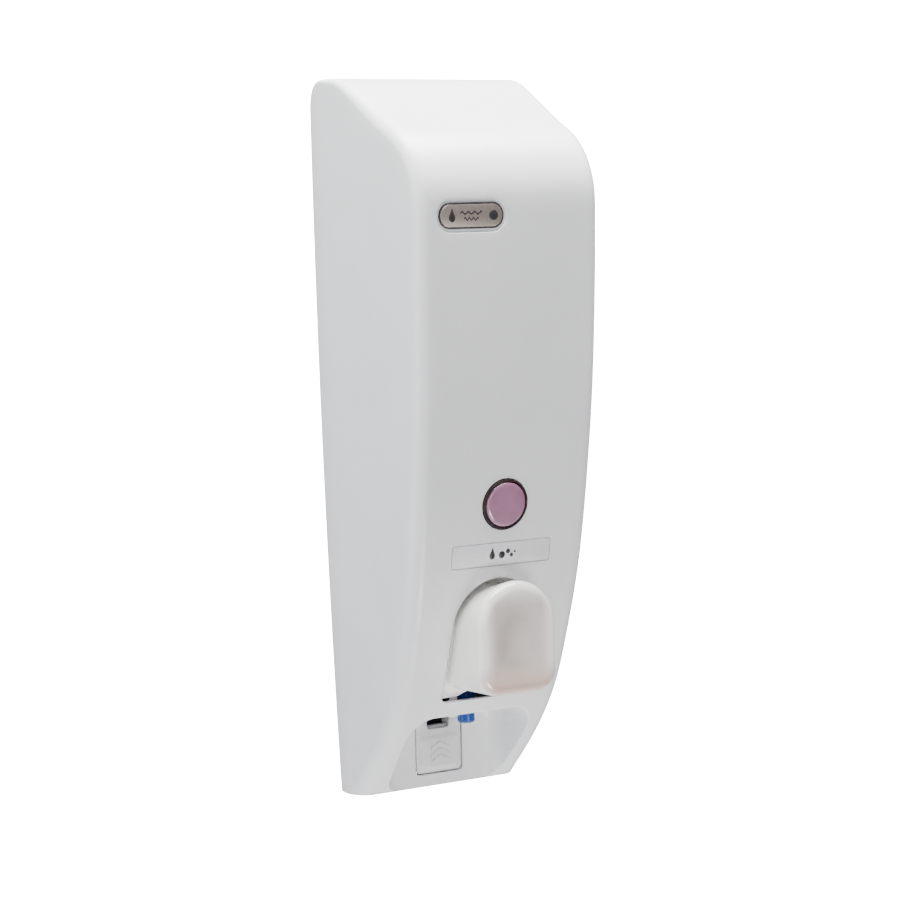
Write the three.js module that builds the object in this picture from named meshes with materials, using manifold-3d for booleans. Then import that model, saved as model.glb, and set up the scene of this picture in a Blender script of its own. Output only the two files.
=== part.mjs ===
// Wall-mounted soap dispenser: a hinged front cover over a reservoir and a push-lever pump.
// Millimetres. +X is right, -Y is out of the wall, +Z is up. Heights are measured from the
// bottom edge and depths from the wall; the exported group puts the origin on the wall,
// at mid width and mid height.
import * as THREE from "three";
import { mergeVertices } from "three/addons/utils/BufferGeometryUtils.js";
import Module from "manifold-3d";

const wasm = await Module();
wasm.setup();

// ---------------------------------------------------------------- driving dimensions
const HEIGHT = 284;
const DEPTH = 79.5; // wall to the foremost line of the cover
const HALF_WIDTH = 43.1; // of the cover's back edge, at the top
const FLARE = [1.6, -6.4]; // how the half width changes over the height, linear and squared
const SIDE_DRAFT = 0.03; // the sides lean in by this much per millimetre of depth
const WALL = 2.4; // the cover's wall
const TOP_SLOPE = 0.532; // fall of the sloping top per millimetre of depth
const TOP_BREAK = 22.2; // depth at which the top starts to slope
const BROW_RADIUS = 32; // round between the sloping top and the front
const EDGE_TOP = 5.5; // side edge radius in the upper part
const EDGE_LOW = 9; // and at the bottom

const GAP = 0.3; // between pieces that touch
const PLAY = 0.6; // around pieces that move or lift out

const HINGE = { depth: 9.5, height: HEIGHT - 9.5, pin: 1.9, boss: 5 };
const LIP_HEIGHT = HINGE.height - 1.5; // where the top's lip ends against the wall
// Along the hinge's axis, from the middle: the plate's ears, and the pins that go through them.
const HINGE_STACK = {
  pinIn: HALF_WIDTH - 10.3,
  earIn: HALF_WIDTH - 9.3,
  earOut: HALF_WIDTH - 5.9,
  pinOut: HALF_WIDTH - 3.1,
};
const PLATE = { thick: 3, low: 7, high: HEIGHT - 21, rim: 7, rimWall: 2, side: 1 };
const PAD = { halfWidth: 25, tall: 26, thick: 1, heights: [72, HEIGHT - 70] };
const SCREW = { x: 24, heights: [44, HEIGHT - 44], hole: 2.3, seat: 5, sink: 1 };

const SCOOP = { half: 28.3, foot: 26, top: 34, corner: 10, depth: 15, wall: 2.2, blend: 7 };
const WINDOW = { height: 119.2, hole: 10.2, lens: 8.75, proud: 1.8, lip: 2 };
const LABEL = { half: 22.4, height: 99.75, tall: 9.5, corner: 1.2, sink: 0.8, thick: 0.6 };
const BADGE = { x: -17.5, height: HEIGHT - 54.4, half: 15.35, tall: 12.4, sink: 0.6, thick: 1.1,
    margin: 1.55 };

const LEVER = {
  half: 17, // at the cover's surface
  taper: 1.2, // how much narrower its face is
  rise: 1.6, // how much higher its round top stands at the face
  face: DEPTH - 1.5, // depth of its face
  low: 46.5,
  crown: 70.5, // centre height of its round top
  wall: 2.2,
  flange: 2.5, // how far the rim reaches behind the cover
  rimLow: 44.2,
  pivotDepth: DEPTH - 21.5,
  barrel: 3.4,
  pin: 1.5,
  lug: 4, // width of the cover's two lugs for its pin
};
const PIVOT_HEIGHT = LEVER.crown + LEVER.half + 5.5; // of the lever's pin
// The lever's opening.
const MOUTH = { half: LEVER.half + 1.2, low: 40.6, crown: LEVER.crown + 1.5, corner: 3.5 };

const FLANGE = { low: 85, high: 88.2, radius: 9.6 };
const NOZZLE = { radius: 3.45, bore: 1.9, low: 29.5, notch: 23.3 };
NOZZLE.slot = NOZZLE.radius + 1.7; // half width and front reach of the slot it hangs in
const SOCKET = { radius: NOZZLE.radius + 1.75, low: 46, deep: 8.6, passage: 1.8 };
const PUMP_DEPTH = 37; // of the upright axis
// The pump: its axis stands `depth` from the wall, and its piston runs outwards at `height`.
const PUMP = {
  depth: PUMP_DEPTH,
  height: 64,
  housing: 11,
  front: PUMP_DEPTH + SOCKET.radius + 3.3, // the ring on its front clears the nozzle's socket
  back: 28,
  cylinder: 8, // radius and length of the cylinder
  riser: 4.8,
  riserBore: 2.6,
  shoulder: 8,
  inletBore: 5.4,
  inletSeat: 79, // height of the inlet valve's seat
  bellowsFront: 60,
  cap: 9.4,
  capFront: 63.7,
};
const NECK = { outer: 9, inner: 6.5, low: 90 };
const NUT = { outer: 12.5, hole: 8.4, lip: 2.6, over: 11, grips: 12, grip: 0.9 };
const TANK = { half: HALF_WIDTH - 10.1, back: 5, low: 104, high: HEIGHT - 28, wall: 1.6, foot: 62,
    belly: 66, top: 66 };
const LID = { half: 22, back: 11, front: 43, thick: 2.2, rim: 3, plug: 4, seal: 1, tab: 9 };
const BELLOWS = { folds: 3, root: 7.6, crest: 9, wall: 1.05, flange: 10.6, end: 1.1 };
const SPRING = { radius: 4.9, wire: 0.5, turns: 6 };

const BUTTON = { half: 10.5, low: 5.5, high: 26.4, gap: 0.6, pad: 0.6, border: 1.6, pivotDepth: 11,
    pivotHeight: 25 };
const TRUNNION = { radius: 1.2, boss: 2.6, knuckle: 2.3, long: 3 };
const CATCH = { half: 6, low: 8, top: 11.8, back: 6.6, front: 8.2, foot: 1.4 };

const FAR = DEPTH + 15.5; // beyond the cover's front, for tools that cut right through it

// ---------------------------------------------------------------- small tools
const merged = (geometry) => {
  const g = geometry.index ? geometry.toNonIndexed() : geometry.clone();
  g.deleteAttribute("normal");
  g.deleteAttribute("uv");
  return mergeVertices(g, 1e-4);
};

function solid(geometry) {
  const g = merged(geometry);
  const mesh = { numProp: 3, vertProperties: g.attributes.position.array,
      triVerts: new Uint32Array(g.index.array) };
  return new wasm.Manifold(new wasm.Mesh(mesh));
}

function geometryOf(manifold) {
  const m = manifold.getMesh();
  const g = new THREE.BufferGeometry();
  g.setAttribute("position", new THREE.BufferAttribute(new Float32Array(m.vertProperties), 3));
  g.setIndex(new THREE.BufferAttribute(new Uint32Array(m.triVerts), 1));
  g.computeVertexNormals();
  return g;
}

const joined = (...pieces) => pieces.reduce((a, b) => a.add(b));
const cut = (piece, ...tools) => tools.reduce((a, b) => a.subtract(b), piece);

function box(x0, x1, y0, y1, z0, z1) {
  const g = new THREE.BoxGeometry(x1 - x0, y1 - y0, z1 - z0);
  return solid(g.translate((x0 + x1) / 2, (y0 + y1) / 2, (z0 + z1) / 2));
}

// The frames in which outlines are drawn: the outline's two axes, then the way it is extruded.
const PLANES = {
  yz: [new THREE.Vector3(0, 1, 0), new THREE.Vector3(0, 0, 1), new THREE.Vector3(1, 0, 0)],
  xz: [new THREE.Vector3(1, 0, 0), new THREE.Vector3(0, 0, 1), new THREE.Vector3(0, -1, 0)],
  xy: [new THREE.Vector3(1, 0, 0), new THREE.Vector3(0, 1, 0), new THREE.Vector3(0, 0, 1)],
};

// Extrudes an outline of [a, b] points between two places on the third axis.
function prism(plane, outline, from, to) {
  const shape = new THREE.Shape(outline.map(([a, b]) => new THREE.Vector2(a, b)));
  const g = new THREE.ExtrudeGeometry(shape, { depth: Math.abs(to - from), bevelEnabled: false });
  const start = plane === "xz" ? Math.max(from, to) : Math.min(from, to);
  const axes = PLANES[plane];
  const place = new THREE.Matrix4().makeBasis(...axes);
  const shift = plane === "xz" ? new THREE.Vector3(0, start, 0) : axes[2].clone().multiplyScalar(start);
  return solid(g.applyMatrix4(place.setPosition(shift)));
}

// Rounds the corners of an outline whose points are [a, b] or [a, b, radius].
function rounded(points, steps = 6, closed = true) {
  const out = [];
  points.forEach(([a, b, r], i) => {
    const last = points.length - 1;
    if (!r || (!closed && (i === 0 || i === last))) {
      out.push([a, b]);
      return;
    }
    const here = new THREE.Vector2(a, b);
    const before = new THREE.Vector2(...points[(i + last) % points.length]).sub(here).normalize();
    const after = new THREE.Vector2(...points[(i + 1) % points.length]).sub(here).normalize();
    const half = Math.acos(THREE.MathUtils.clamp(before.dot(after), -1, 1)) / 2;
    const centre = before.clone().add(after).normalize().multiplyScalar(r / Math.sin(half)).add(here);
    const start = before.clone().multiplyScalar(r / Math.tan(half)).add(here).sub(centre);
    const end = after.clone().multiplyScalar(r / Math.tan(half)).add(here).sub(centre);
    const turn = Math.atan2(start.cross(end), start.dot(end));
    for (let k = 0; k <= steps; k++) {
      const v = start.clone().rotateAround(new THREE.Vector2(), (turn * k) / steps).add(centre);
      out.push([v.x, v.y]);
    }
  });
  return out;
}

const rectangle = (a0, a1, b0, b1, r = 0, steps = 4) =>
  rounded([[a0, b0, r], [a1, b0, r], [a1, b1, r], [a0, b1, r]], steps);

// A turned piece: [radius, distance] points about an axis through `at`, distances along it.
const TURNED = { x: [0, 0, -Math.PI / 2], y: [0, 0, 0], z: [Math.PI / 2, 0, 0] };
function turned(axis, profile, at = [0, 0, 0], sides = 32) {
  const points = profile.map(([r, d]) => new THREE.Vector2(r, d));
  const g = new THREE.LatheGeometry(points, sides);
  g.applyMatrix4(new THREE.Matrix4().makeRotationFromEuler(new THREE.Euler(...TURNED[axis])));
  return solid(g.translate(...at));
}

// A plain round bar from one place to another along an axis.
const bar = (axis, radius, from, to, at = [0, 0, 0], sides = 32) =>
  turned(axis, [[0, from], [radius, from], [radius, to], [0, to]], at, sides);
const tube = (axis, inner, outer, from, to, at, sides) =>
  turned(axis, [[inner, from], [outer, from], [outer, to], [inner, to], [inner, from]], at, sides);

// Joins rings of equally many points into one closed skin, capped at both ends.
// `flat` gives each ring point's place in the plane that the caps are filled in, and `bands`
// the lists of ring points that are filled one by one where a cap isn't flat.
function lofted(rings, flat, bands = [rings[0].map((_, i) => i)]) {
  const count = rings[0].length;
  const place = rings.flat(2);
  const faces = [];
  for (let r = 0; r + 1 < rings.length; r++)
    for (let i = 0; i < count; i++) {
      const j = (i + 1) % count;
      const [a, b, c, d] = [r * count + i, r * count + j, (r + 1) * count + j, (r + 1) * count + i];
      faces.push([a, b, c], [a, c, d]);
    }
  // Cap triangles follow the ring's own direction, whichever way round it is drawn.
  const cap = (ring, band) => {
    const outline = band.map((i) => new THREE.Vector2(...flat(ring[i])));
    const fill = THREE.ShapeUtils.triangulateShape(outline, []);
    const sameWay = fill.reduce((sum, t) => sum + THREE.ShapeUtils.area(t.map((i) => outline[i])), 0) > 0;
    const kept = sameWay === THREE.ShapeUtils.area(outline) > 0 ? fill : fill.map(([a, b, c]) => [a, c,
        b]);
    return kept.map((t) => t.map((i) => band[i]));
  };
  const last = (rings.length - 1) * count;
  bands.forEach((band) => {
    cap(rings[0], band).forEach(([a, b, c]) => faces.push([a, c, b]));
    cap(rings.at(-1), band).forEach(([a, b, c]) => faces.push([last + a, last + b, last + c]));
  });
  const g = new THREE.BufferGeometry();
  g.setAttribute("position", new THREE.Float32BufferAttribute(place, 3));
  g.setIndex(faces.flat());
  const made = solid(g);
  if (made.volume() > 0) return made;
  g.setIndex(faces.map(([a, b, c]) => [a, c, b]).flat());
  return solid(g);
}

// ---------------------------------------------------------------- the cover's outer form
const halfWidthAt = (height) => {
  const down = 1 - height / HEIGHT;
  return HALF_WIDTH + FLARE[0] * down + FLARE[1] * down * down;
};
const edgeRadiusAt = (height) => THREE.MathUtils.lerp(EDGE_LOW, EDGE_TOP,
    THREE.MathUtils.smoothstep(height, 0, 130));

// The front's depth at a few heights. The points keep their distance from the foremost line,
// and the two uppermost ones also theirs from the top.
const FRONT = [
  [0, DEPTH - 64.5],
  [20, DEPTH - 45.5],
  [40, DEPTH - 31.9],
  [62, DEPTH - 23.3],
  [90, DEPTH - 15],
  [120, DEPTH - 9.4],
  [160, DEPTH - 4.1],
  [HEIGHT - 84, DEPTH - 1.3],
  [HEIGHT - 52, DEPTH - 0.1],
];
const frontCurve = new THREE.SplineCurve(FRONT.map(([height, depth]) => new THREE.Vector2(-depth,
    height)));
function frontDepthAt(height) {
  let [low, high] = [0, 1];
  for (let i = 0; i < 30; i++) {
    const mid = (low + high) / 2;
    if (frontCurve.getPoint(mid).y < height) low = mid;
    else high = mid;
  }
  return -frontCurve.getPoint(low).x;
}
const frontLeanAt = (height) => Math.atan((frontDepthAt(height + 2) - frontDepthAt(height - 2)) / 4);

// Side view of the cover, from the bottom edge up the front and over the top to the wall.
function sideProfile() {
  const brow = HEIGHT - (DEPTH - TOP_BREAK) * TOP_SLOPE;
  const front = frontCurve.getPoints(26).map((p) => [p.x, p.y]);
  const top = rounded(
    [front.at(-1), [-DEPTH, brow, BROW_RADIUS], [-TOP_BREAK, HEIGHT, 30],
        [0, HEIGHT, HINGE.depth - 0.01], [0, HINGE.height]],
    7,
    false,
  );
  const crest = top.findIndex(([, z]) => z > LIP_HEIGHT);
  const shoulder = [-TOP_BREAK - (HEIGHT - LIP_HEIGHT) / TOP_SLOPE, LIP_HEIGHT];
  return [...front, ...top.slice(1, crest), shoulder, ...top.slice(crest, -1)];
}
const PROFILE = sideProfile();

// The profile moved inwards by `inset`, its ends kept on the bottom plane and the wall plane.
function insetProfile(insetAt, floor) {
  return PROFILE.map(([y, z], i) => {
    const [a, b] = [PROFILE[Math.max(i - 1, 0)], PROFILE[Math.min(i + 1, PROFILE.length - 1)]];
    const along = new THREE.Vector2(b[0] - a[0], b[1] - a[1]).normalize();
    const inset = insetAt(z);
    const p = [y + along.y * inset, z - along.x * inset];
    if (i > 0) return p;
    const slide = (floor - p[1]) / along.y;
    return [p[0] + along.x * slide, floor];
  });
}

// The cover's outer form moved inwards by `inset`: rings across the width, with round edges.
// The wall side of each ring repeats the heights of the front, so that the bowed sides
// are filled in level bands.
function coverForm(inset, back, floor) {
  const EDGE_STEPS = 5;
  const crest = PROFILE.length - 1;
  const level = PROFILE.findIndex(([, z]) => z === LIP_HEIGHT);
  const ring = (side, turn) => {
    const round = (z) => Math.max(edgeRadiusAt(z) - inset, 0.5);
    const shape = insetProfile((z) => inset + round(z) * (1 - Math.sin(turn)), floor);
    const wall = shape.slice(0, level + 1).reverse().map(([, z]) => [back, z]);
    return [...shape, ...wall].map(([y, z]) => {
      const half = halfWidthAt(z) - SIDE_DRAFT * Math.max(-y, 0) - inset;
      return [side * (half - round(z) * (1 - Math.cos(turn))), y, z];
    });
  };
  const turns = Array.from({ length: EDGE_STEPS + 1 }, (_, k) => ((Math.PI / 2) * k) / EDGE_STEPS);
  const rings = [...turns.map((t) => ring(-1, t)), ...turns.reverse().map((t) => ring(1, t))];
  const behind = (k) => crest + 1 + level - k;
  const bands = Array.from({ length: level }, (_, k) => [k, k + 1, behind(k + 1), behind(k)]);
  bands.push([...Array.from({ length: crest - level + 1 }, (_, k) => level + k), behind(level)]);
  return lofted(rings, ([, y, z]) => [y, z], bands);
}

// A piece drawn flat at the origin, facing -Y, and laid on the cover's front at a height.
function onFront(piece, x, height, sink = 0) {
  const lean = frontLeanAt(height);
  const degrees = THREE.MathUtils.radToDeg(lean);
  const depth = frontDepthAt(height) - sink * Math.cos(lean);
  return piece.rotate([degrees, 0, 0]).translate([x, -depth, height + sink * Math.sin(lean)]);
}

// ---------------------------------------------------------------- openings of the cover
const scoopOutline = (grow) => {
  const { foot, half, top, corner } = SCOOP;
  const below = -2; // the outline starts under the cover's bottom edge
  const right = [[foot + grow, below], [half + grow, corner * 2],
      [half + grow, top + grow, corner + grow]];
  const left = right.map(([x, z, r]) => [-x, z, r]).reverse();
  return rounded([...right, ...left], 7);
};

// The hollow below the nozzle: straight back from the front, then a quarter round into the
// plate. `grow` makes the same form bigger all round, for the wall behind it.
function scoopForm(grow) {
  const steps = 6;
  const back = SCOOP.depth - grow;
  const turns = Array.from({ length: steps + 1 }, (_, k) => ((Math.PI / 2) * k) / steps);
  const bend = turns.map((t) => [back + SCOOP.blend * (1 - Math.sin(t)), SCOOP.blend * (1 - Math.cos(t))]);
  const rings = [[FAR, 0], ...bend].map(([depth, inset]) =>
    scoopOutline(grow - inset).map(([x, z]) => [x, -depth, z]));
  return lofted(rings, ([x, , z]) => [x, z]);
}

const leverOutline = (half, low, crown, corner, grow = 0) => {
  const arc = Array.from({ length: 15 }, (_, k) => {
    const turn = (Math.PI * k) / 14;
    return [(half + grow) * Math.cos(turn), crown + (half + grow) * Math.sin(turn)];
  });
  const foot = rounded([[half + grow, crown], [-half - grow, crown], [-half - grow, low, corner],
      [half + grow, low, corner]], 4);
  return [...arc, ...foot.slice(2)];
};

const stadium = (half, tall) => rectangle(-half, half, -tall / 2, tall / 2, tall / 2 - 0.01, 8);

// ---------------------------------------------------------------- the cover and its trim
function frontCover() {
  const outer = coverForm(0, 0, 0);
  const inner = coverForm(WALL, 2, WALL);
  const lining = scoopForm(SCOOP.wall).intersect(outer);
  const shell = joined(outer.subtract(inner), lining);
  const boss = (side) => {
    const from = side * (HINGE_STACK.earOut + PLAY);
    const to = side * (halfWidthAt(HINGE.height) - WALL / 2);
    return bar("x", HINGE.boss, Math.min(from, to), Math.max(from, to), [0, -HINGE.depth, HINGE.height]);
  };
  const blind = (side) => {
    const [from, to] = [side * HINGE_STACK.earOut, side * (HINGE_STACK.pinOut + GAP)];
    return bar("x", HINGE.pin + GAP, Math.min(from, to), Math.max(from, to),
        [0, -HINGE.depth, HINGE.height]);
  };
  const mouth = leverOutline(MOUTH.half, MOUTH.low, MOUTH.crown, MOUTH.corner);
  const slot = rectangle(-NOZZLE.slot, NOZZLE.slot, NOZZLE.notch, SCOOP.top + 8, 2);
  const [portHalf, portLow, portHigh] = [BUTTON.half + BUTTON.gap, BUTTON.low - BUTTON.gap,
      BUTTON.high + BUTTON.gap];
  const port = rectangle(-portHalf, portHalf, portLow, portHigh, 1);
  const label = rectangle(-LABEL.half, LABEL.half, -LABEL.tall / 2, LABEL.tall / 2, LABEL.corner);
  const rear = -SCOOP.depth + SCOOP.wall;
  return cut(
    joined(shell, boss(-1), boss(1), leverLugs(), buttonLugs()),
    scoopForm(0),
    blind(-1),
    blind(1),
    prism("xz", mouth, -FAR, -PUMP.depth),
    prism("xz", slot, -PUMP.depth - NOZZLE.slot, rear + 1),
    prism("xz", port, -SCOOP.depth - 1, rear + 0.2),
    onFront(bar("y", WINDOW.hole, -8, 8), 0, WINDOW.height),
    onFront(prism("xz", label, -3, LABEL.sink), 0, LABEL.height),
    onFront(prism("xz", stadium(BADGE.half, BADGE.tall), -3, BADGE.sink), BADGE.x, BADGE.height),
  );
}

const LUG_IN = LEVER.half - 1.4;
const LUG_OUT = LUG_IN + LEVER.lug;

// Two lugs behind the front wall that carry the lever's pin.
function leverLugs() {
  const { pivotDepth, pin } = LEVER;
  const eyeRadius = pin + 2;
  const at = [0, -pivotDepth, PIVOT_HEIGHT];
  const eye = (side) => {
    const [from, to] = [side * LUG_IN, side * LUG_OUT].sort((a, b) => a - b);
    const wall = frontDepthAt(PIVOT_HEIGHT) - WALL / 2;
    const web = box(from, to, -wall, -pivotDepth, PIVOT_HEIGHT - eyeRadius, PIVOT_HEIGHT + eyeRadius);
    return joined(bar("x", eyeRadius, from, to, at), web.intersect(coverForm(WALL / 2, 2, WALL)));
  };
  return joined(eye(-1), eye(1)).subtract(bar("x", pin + GAP, -LUG_OUT - 1, LUG_OUT + 1, at));
}

// Two small bosses behind the recess plate that carry the button's trunnions.
function buttonLugs() {
  const { pivotDepth, pivotHeight } = BUTTON;
  const inner = BUTTON.half + BUTTON.gap + 0.4;
  const outer = inner + TRUNNION.long;
  const at = [0, -pivotDepth, pivotHeight];
  const [low, high] = [pivotHeight - TRUNNION.boss, pivotHeight + TRUNNION.boss];
  const boss = (side) => {
    const [from, to] = [side * inner, side * outer].sort((a, b) => a - b);
    return joined(bar("x", TRUNNION.boss, from, to, at, 20),
        box(from, to, -SCOOP.depth + 0.6, -pivotDepth, low, high));
  };
  return joined(boss(-1), boss(1)).subtract(bar("x", TRUNNION.radius + GAP, -outer - 1, outer + 1, at,
      20));
}

function badgePlate() {
  const plate = stadium(BADGE.half - BADGE.margin, BADGE.tall - 2 * BADGE.margin);
  return onFront(prism("xz", plate, -BADGE.thick, -GAP), BADGE.x, BADGE.height, BADGE.sink);
}

function labelPlate() {
  const [half, tall] = [LABEL.half - GAP, LABEL.tall / 2 - GAP];
  const outline = rectangle(-half, half, -tall, tall, LABEL.corner - GAP);
  return onFront(prism("xz", outline, -GAP - LABEL.thick, -GAP), 0, LABEL.height, LABEL.sink);
}

const SEAL_LIP = 1.2; // thickness of the seal's rear lip
function windowSeal() {
  const [seal, inner] = [WINDOW.hole - GAP, WINDOW.lens + GAP];
  const [front, back, end] = [-0.5, WALL + GAP, WALL + GAP + SEAL_LIP];
  const profile = [[inner, front], [seal, front], [seal, back], [seal + WINDOW.lip, back],
      [seal + WINDOW.lip, end], [inner, end], [inner, front]];
  return onFront(turned("y", profile, [0, 0, 0], 40), 0, WINDOW.height);
}

function windowLens() {
  const { lens, proud } = WINDOW;
  const back = WALL + SEAL_LIP;
  const profile = [[0, -proud], [lens - 1.6, -proud], [lens - 0.6, -proud + 0.4], [lens, -proud + 1.2],
      [lens, back], [0, back]];
  return onFront(turned("y", profile, [0, 0, 0], 40), 0, WINDOW.height);
}

const PIN_HEAD = { thick: 1.2, over: 1.3 };
const hingePin = (side) => {
  const [from, to] = [side * HINGE_STACK.pinIn, side * HINGE_STACK.pinOut].sort((a, b) => a - b);
  const head = side * HINGE_STACK.pinIn;
  const [headFrom, headTo] = [head, head - side * PIN_HEAD.thick].sort((a, b) => a - b);
  const at = [0, -HINGE.depth, HINGE.height];
  return joined(bar("x", HINGE.pin, from, to, at, 24),
      bar("x", HINGE.pin + PIN_HEAD.over, headFrom, headTo, at, 24));
};

// ---------------------------------------------------------------- the lever
// The block that meets the plunger, and how far out the room behind the dome reaches.
const PUSH = { half: 6, clear: DEPTH - 17.5 };
function pushLever() {
  const { half, taper, rise, face, low, crown, wall, flange, rimLow, pivotDepth, barrel, pin } = LEVER;
  const faceHalf = half - taper;
  const root = PUMP.depth + 3; // depth at which the dome's tool starts, well inside the cover
  const dome = (shrink, front) => {
    const ring = (depth, width, lift = rise) =>
      leverOutline(width - shrink, low + shrink, crown + lift,
          Math.max(4 - shrink, 1)).map(([x, z]) => [x, -depth, z]);
    const edge = faceHalf + 1.2;
    const rings = [ring(front, faceHalf - 1.2), ring(front - 0.7, faceHalf), ring(front - 2.4, edge),
        ring(root, half, 0)];
    return lofted(rings, ([x, , z]) => [x, z]);
  };
  const layer = coverForm(WALL + PLAY, 2, 10).subtract(coverForm(WALL + PLAY + 2, 3, 9));
  const rim = prism("xz", leverOutline(half, rimLow, crown + 1, 3, flange), -FAR,
      -PUMP.depth).intersect(layer);
  const behind = coverForm(WALL + PLAY + 2, 3, 9).intersect(box(-60, 60, -PUSH.clear, 0, 0, PIVOT_HEIGHT));
  const shell = cut(dome(0, face), dome(wall, face - wall), behind);
  const push = box(-PUSH.half, PUSH.half, -face + wall / 2, -PUMP.capFront - GAP, PUMP.height - 4,
      PUMP.height + 4);
  const at = [0, -pivotDepth, PIVOT_HEIGHT];
  const knuckle = bar("x", barrel, -LUG_IN + PLAY, LUG_IN - PLAY, at, 28);
  const webLow = crown + half - 1.5;
  const web = box(-12, 12, -frontDepthAt(webLow + 2) + WALL + PLAY + 0.6, -pivotDepth, webLow,
      PIVOT_HEIGHT);
  const socketRoom = box(-SOCKET.radius - 2.8, SOCKET.radius + 2.8, -PUMP.depth - 19, -30, 40,
      SOCKET.low + 7);
  return cut(
    joined(shell, rim.subtract(dome(wall, face)), push, knuckle, web),
    bar("x", pin + GAP, -LUG_OUT, LUG_OUT, at, 28),
    socketRoom,
  );
}

const leverPin = () =>
  bar("x", LEVER.pin, -LUG_OUT - PLAY, LUG_OUT + PLAY, [0, -LEVER.pivotDepth, PIVOT_HEIGHT], 20);

// ---------------------------------------------------------------- the release button
function releaseButton() {
  const { half, low, high, pad, border, pivotDepth, pivotHeight, gap } = BUTTON;
  const [front, back] = [-SCOOP.depth, -SCOOP.depth + SCOOP.wall];
  const plate = prism("xz", rectangle(-half, half, low, high, 1.6), front, back);
  const padOutline = rectangle(-half + border, half - border, low + border, NOZZLE.notch - 2, 1.4);
  const stub = half + gap + TRUNNION.long;
  const at = [0, -pivotDepth, pivotHeight];
  const trunnion = bar("x", TRUNNION.radius, -stub, stub, at, 20);
  const knuckle = bar("x", TRUNNION.knuckle, -half, half, at, 20);
  const barbLow = CATCH.top + GAP;
  const armEnd = -PLATE.thick - PLAY;
  const arm = box(-3, 3, back - 0.4, armEnd, barbLow + 2, barbLow + 5);
  const barb = box(-3, 3, -CATCH.back + GAP + 0.9, armEnd, barbLow, barbLow + 3);
  const notch = box(-NOZZLE.slot, NOZZLE.slot, front - 5, -3, NOZZLE.notch, high + 5);
  return joined(plate, prism("xz", padOutline, front - pad, front + 0.5), trunnion, knuckle, arm,
      barb).subtract(notch);
}

// ---------------------------------------------------------------- the back plate
const SHELF = { in: 12, reach: 22, thick: 3, tall: 15.7 }; // the two ledges the reservoir stands on
const plateHalfAt = (height) => halfWidthAt(height) - WALL - PLATE.side;
function plateOutline(inset) {
  const steps = 9;
  const heights = Array.from({ length: steps }, (_, k) =>
    THREE.MathUtils.lerp(PLATE.low + inset, PLATE.high - inset, k / (steps - 1)));
  const right = heights.map((z) => [plateHalfAt(z) - inset, z]);
  right[0].push(4);
  right.at(-1).push(4);
  const left = right.map(([x, z, r]) => [-x, z, r]).reverse();
  return rounded([...right, ...left], 4);
}

function backPlate() {
  const { thick, rim, rimWall, high } = PLATE;
  const sheet = prism("xz", plateOutline(0), -thick, 0);
  const tray = prism("xz", plateOutline(0), -thick - rim, -thick / 2);
  const edge = tray.subtract(prism("xz", plateOutline(rimWall), -thick - rim - 1, 0));
  const clear = box(-BUTTON.half - 3.5, BUTTON.half + 3.5, -20, -thick, 0, 30);
  const strut = HINGE.depth + 3; // the ears pass in front of the cover's swinging lip
  const ears = [-1, 1].map((side) => {
    const outline = rounded([
      [-1, high - 27], [-1, high - 1], [-strut, high - 1], [-strut, HINGE.height],
          [-strut - 2, HINGE.height], [-strut - 3, high - 6, 4],
    ], 3);
    const [from, to] = [side * HINGE_STACK.earIn, side * HINGE_STACK.earOut].sort((a, b) => a - b);
    const eye = bar("x", HINGE.boss, from, to, [0, -HINGE.depth, HINGE.height], 28);
    const bore = bar("x", HINGE.pin + GAP, from - 1, to + 1, [0, -HINGE.depth, HINGE.height], 24);
    return joined(prism("yz", outline, from, to), eye).subtract(bore);
  });
  const shelf = [-1, 1].map((side) => {
    const [from, to] = [side * SHELF.in, side * (TANK.half - 2)].sort((a, b) => a - b);
    const top = TANK.low - GAP;
    const ledge = [[-1, top], [-SHELF.reach, top], [-SHELF.reach, top - SHELF.thick],
        [-1, top - SHELF.tall]];
    return prism("yz", ledge, from, to);
  });
  const post = bar("y", PUMP.housing - 4, -PUMP.back + GAP, -1, [0, 0, PUMP.height]);
  const catchFoot = box(-CATCH.half, CATCH.half, -CATCH.front, -1, CATCH.low, CATCH.low + CATCH.foot);
  const catchLip = box(-CATCH.half, CATCH.half, -CATCH.front, -CATCH.back, CATCH.low, CATCH.top);
  const window = box(-5, 5, -thick - 0.01, 1, CATCH.low + 2, CATCH.low + 14);
  const pads = PAD.heights.map((z) =>
    box(-PAD.halfWidth - GAP, PAD.halfWidth + GAP, -PAD.thick - GAP, 1, z - PAD.tall / 2 - GAP,
        z + PAD.tall / 2 + GAP));
  const holes = screwPlaces().flatMap(([x, z]) => [
    bar("y", SCREW.hole, -20, 5, [x, 0, z], 24),
    bar("y", SCREW.seat, -20, -thick + SCREW.sink, [x, 0, z], 28),
  ]);
  const body = joined(sheet, edge.subtract(clear), ...ears, ...shelf, post, catchFoot, catchLip);
  return cut(body, window, ...pads, ...holes);
}

const screwPlaces = () => SCREW.heights.flatMap((z) => [-1, 1].map((side) => [side * SCREW.x, z]));

const tapePad = (height) =>
  box(-PAD.halfWidth, PAD.halfWidth, -PAD.thick, 0, height - PAD.tall / 2, height + PAD.tall / 2);

// ---------------------------------------------------------------- the reservoir
function tankForm(inset) {
  const { back, low, high, foot, belly, top, half } = TANK;
  const side = rounded([
    [-back - inset, low + inset, Math.max(6 - inset, 1)],
    [-back - inset, high - inset, Math.max(5 - inset, 1)],
    [-top + inset, high - inset, 16 - inset],
    [-belly + inset, (low + high) / 2 - 5],
    [-foot + inset, low + 14],
    [-foot + inset, low + inset, 9 - inset],
  ], 5);
  const front = rectangle(-half + inset, half - inset, low + inset, high - inset,
      Math.max(8 - inset, 1), 5);
  return prism("yz", side, -60, 60).intersect(prism("xz", front, -100, 10));
}

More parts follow.
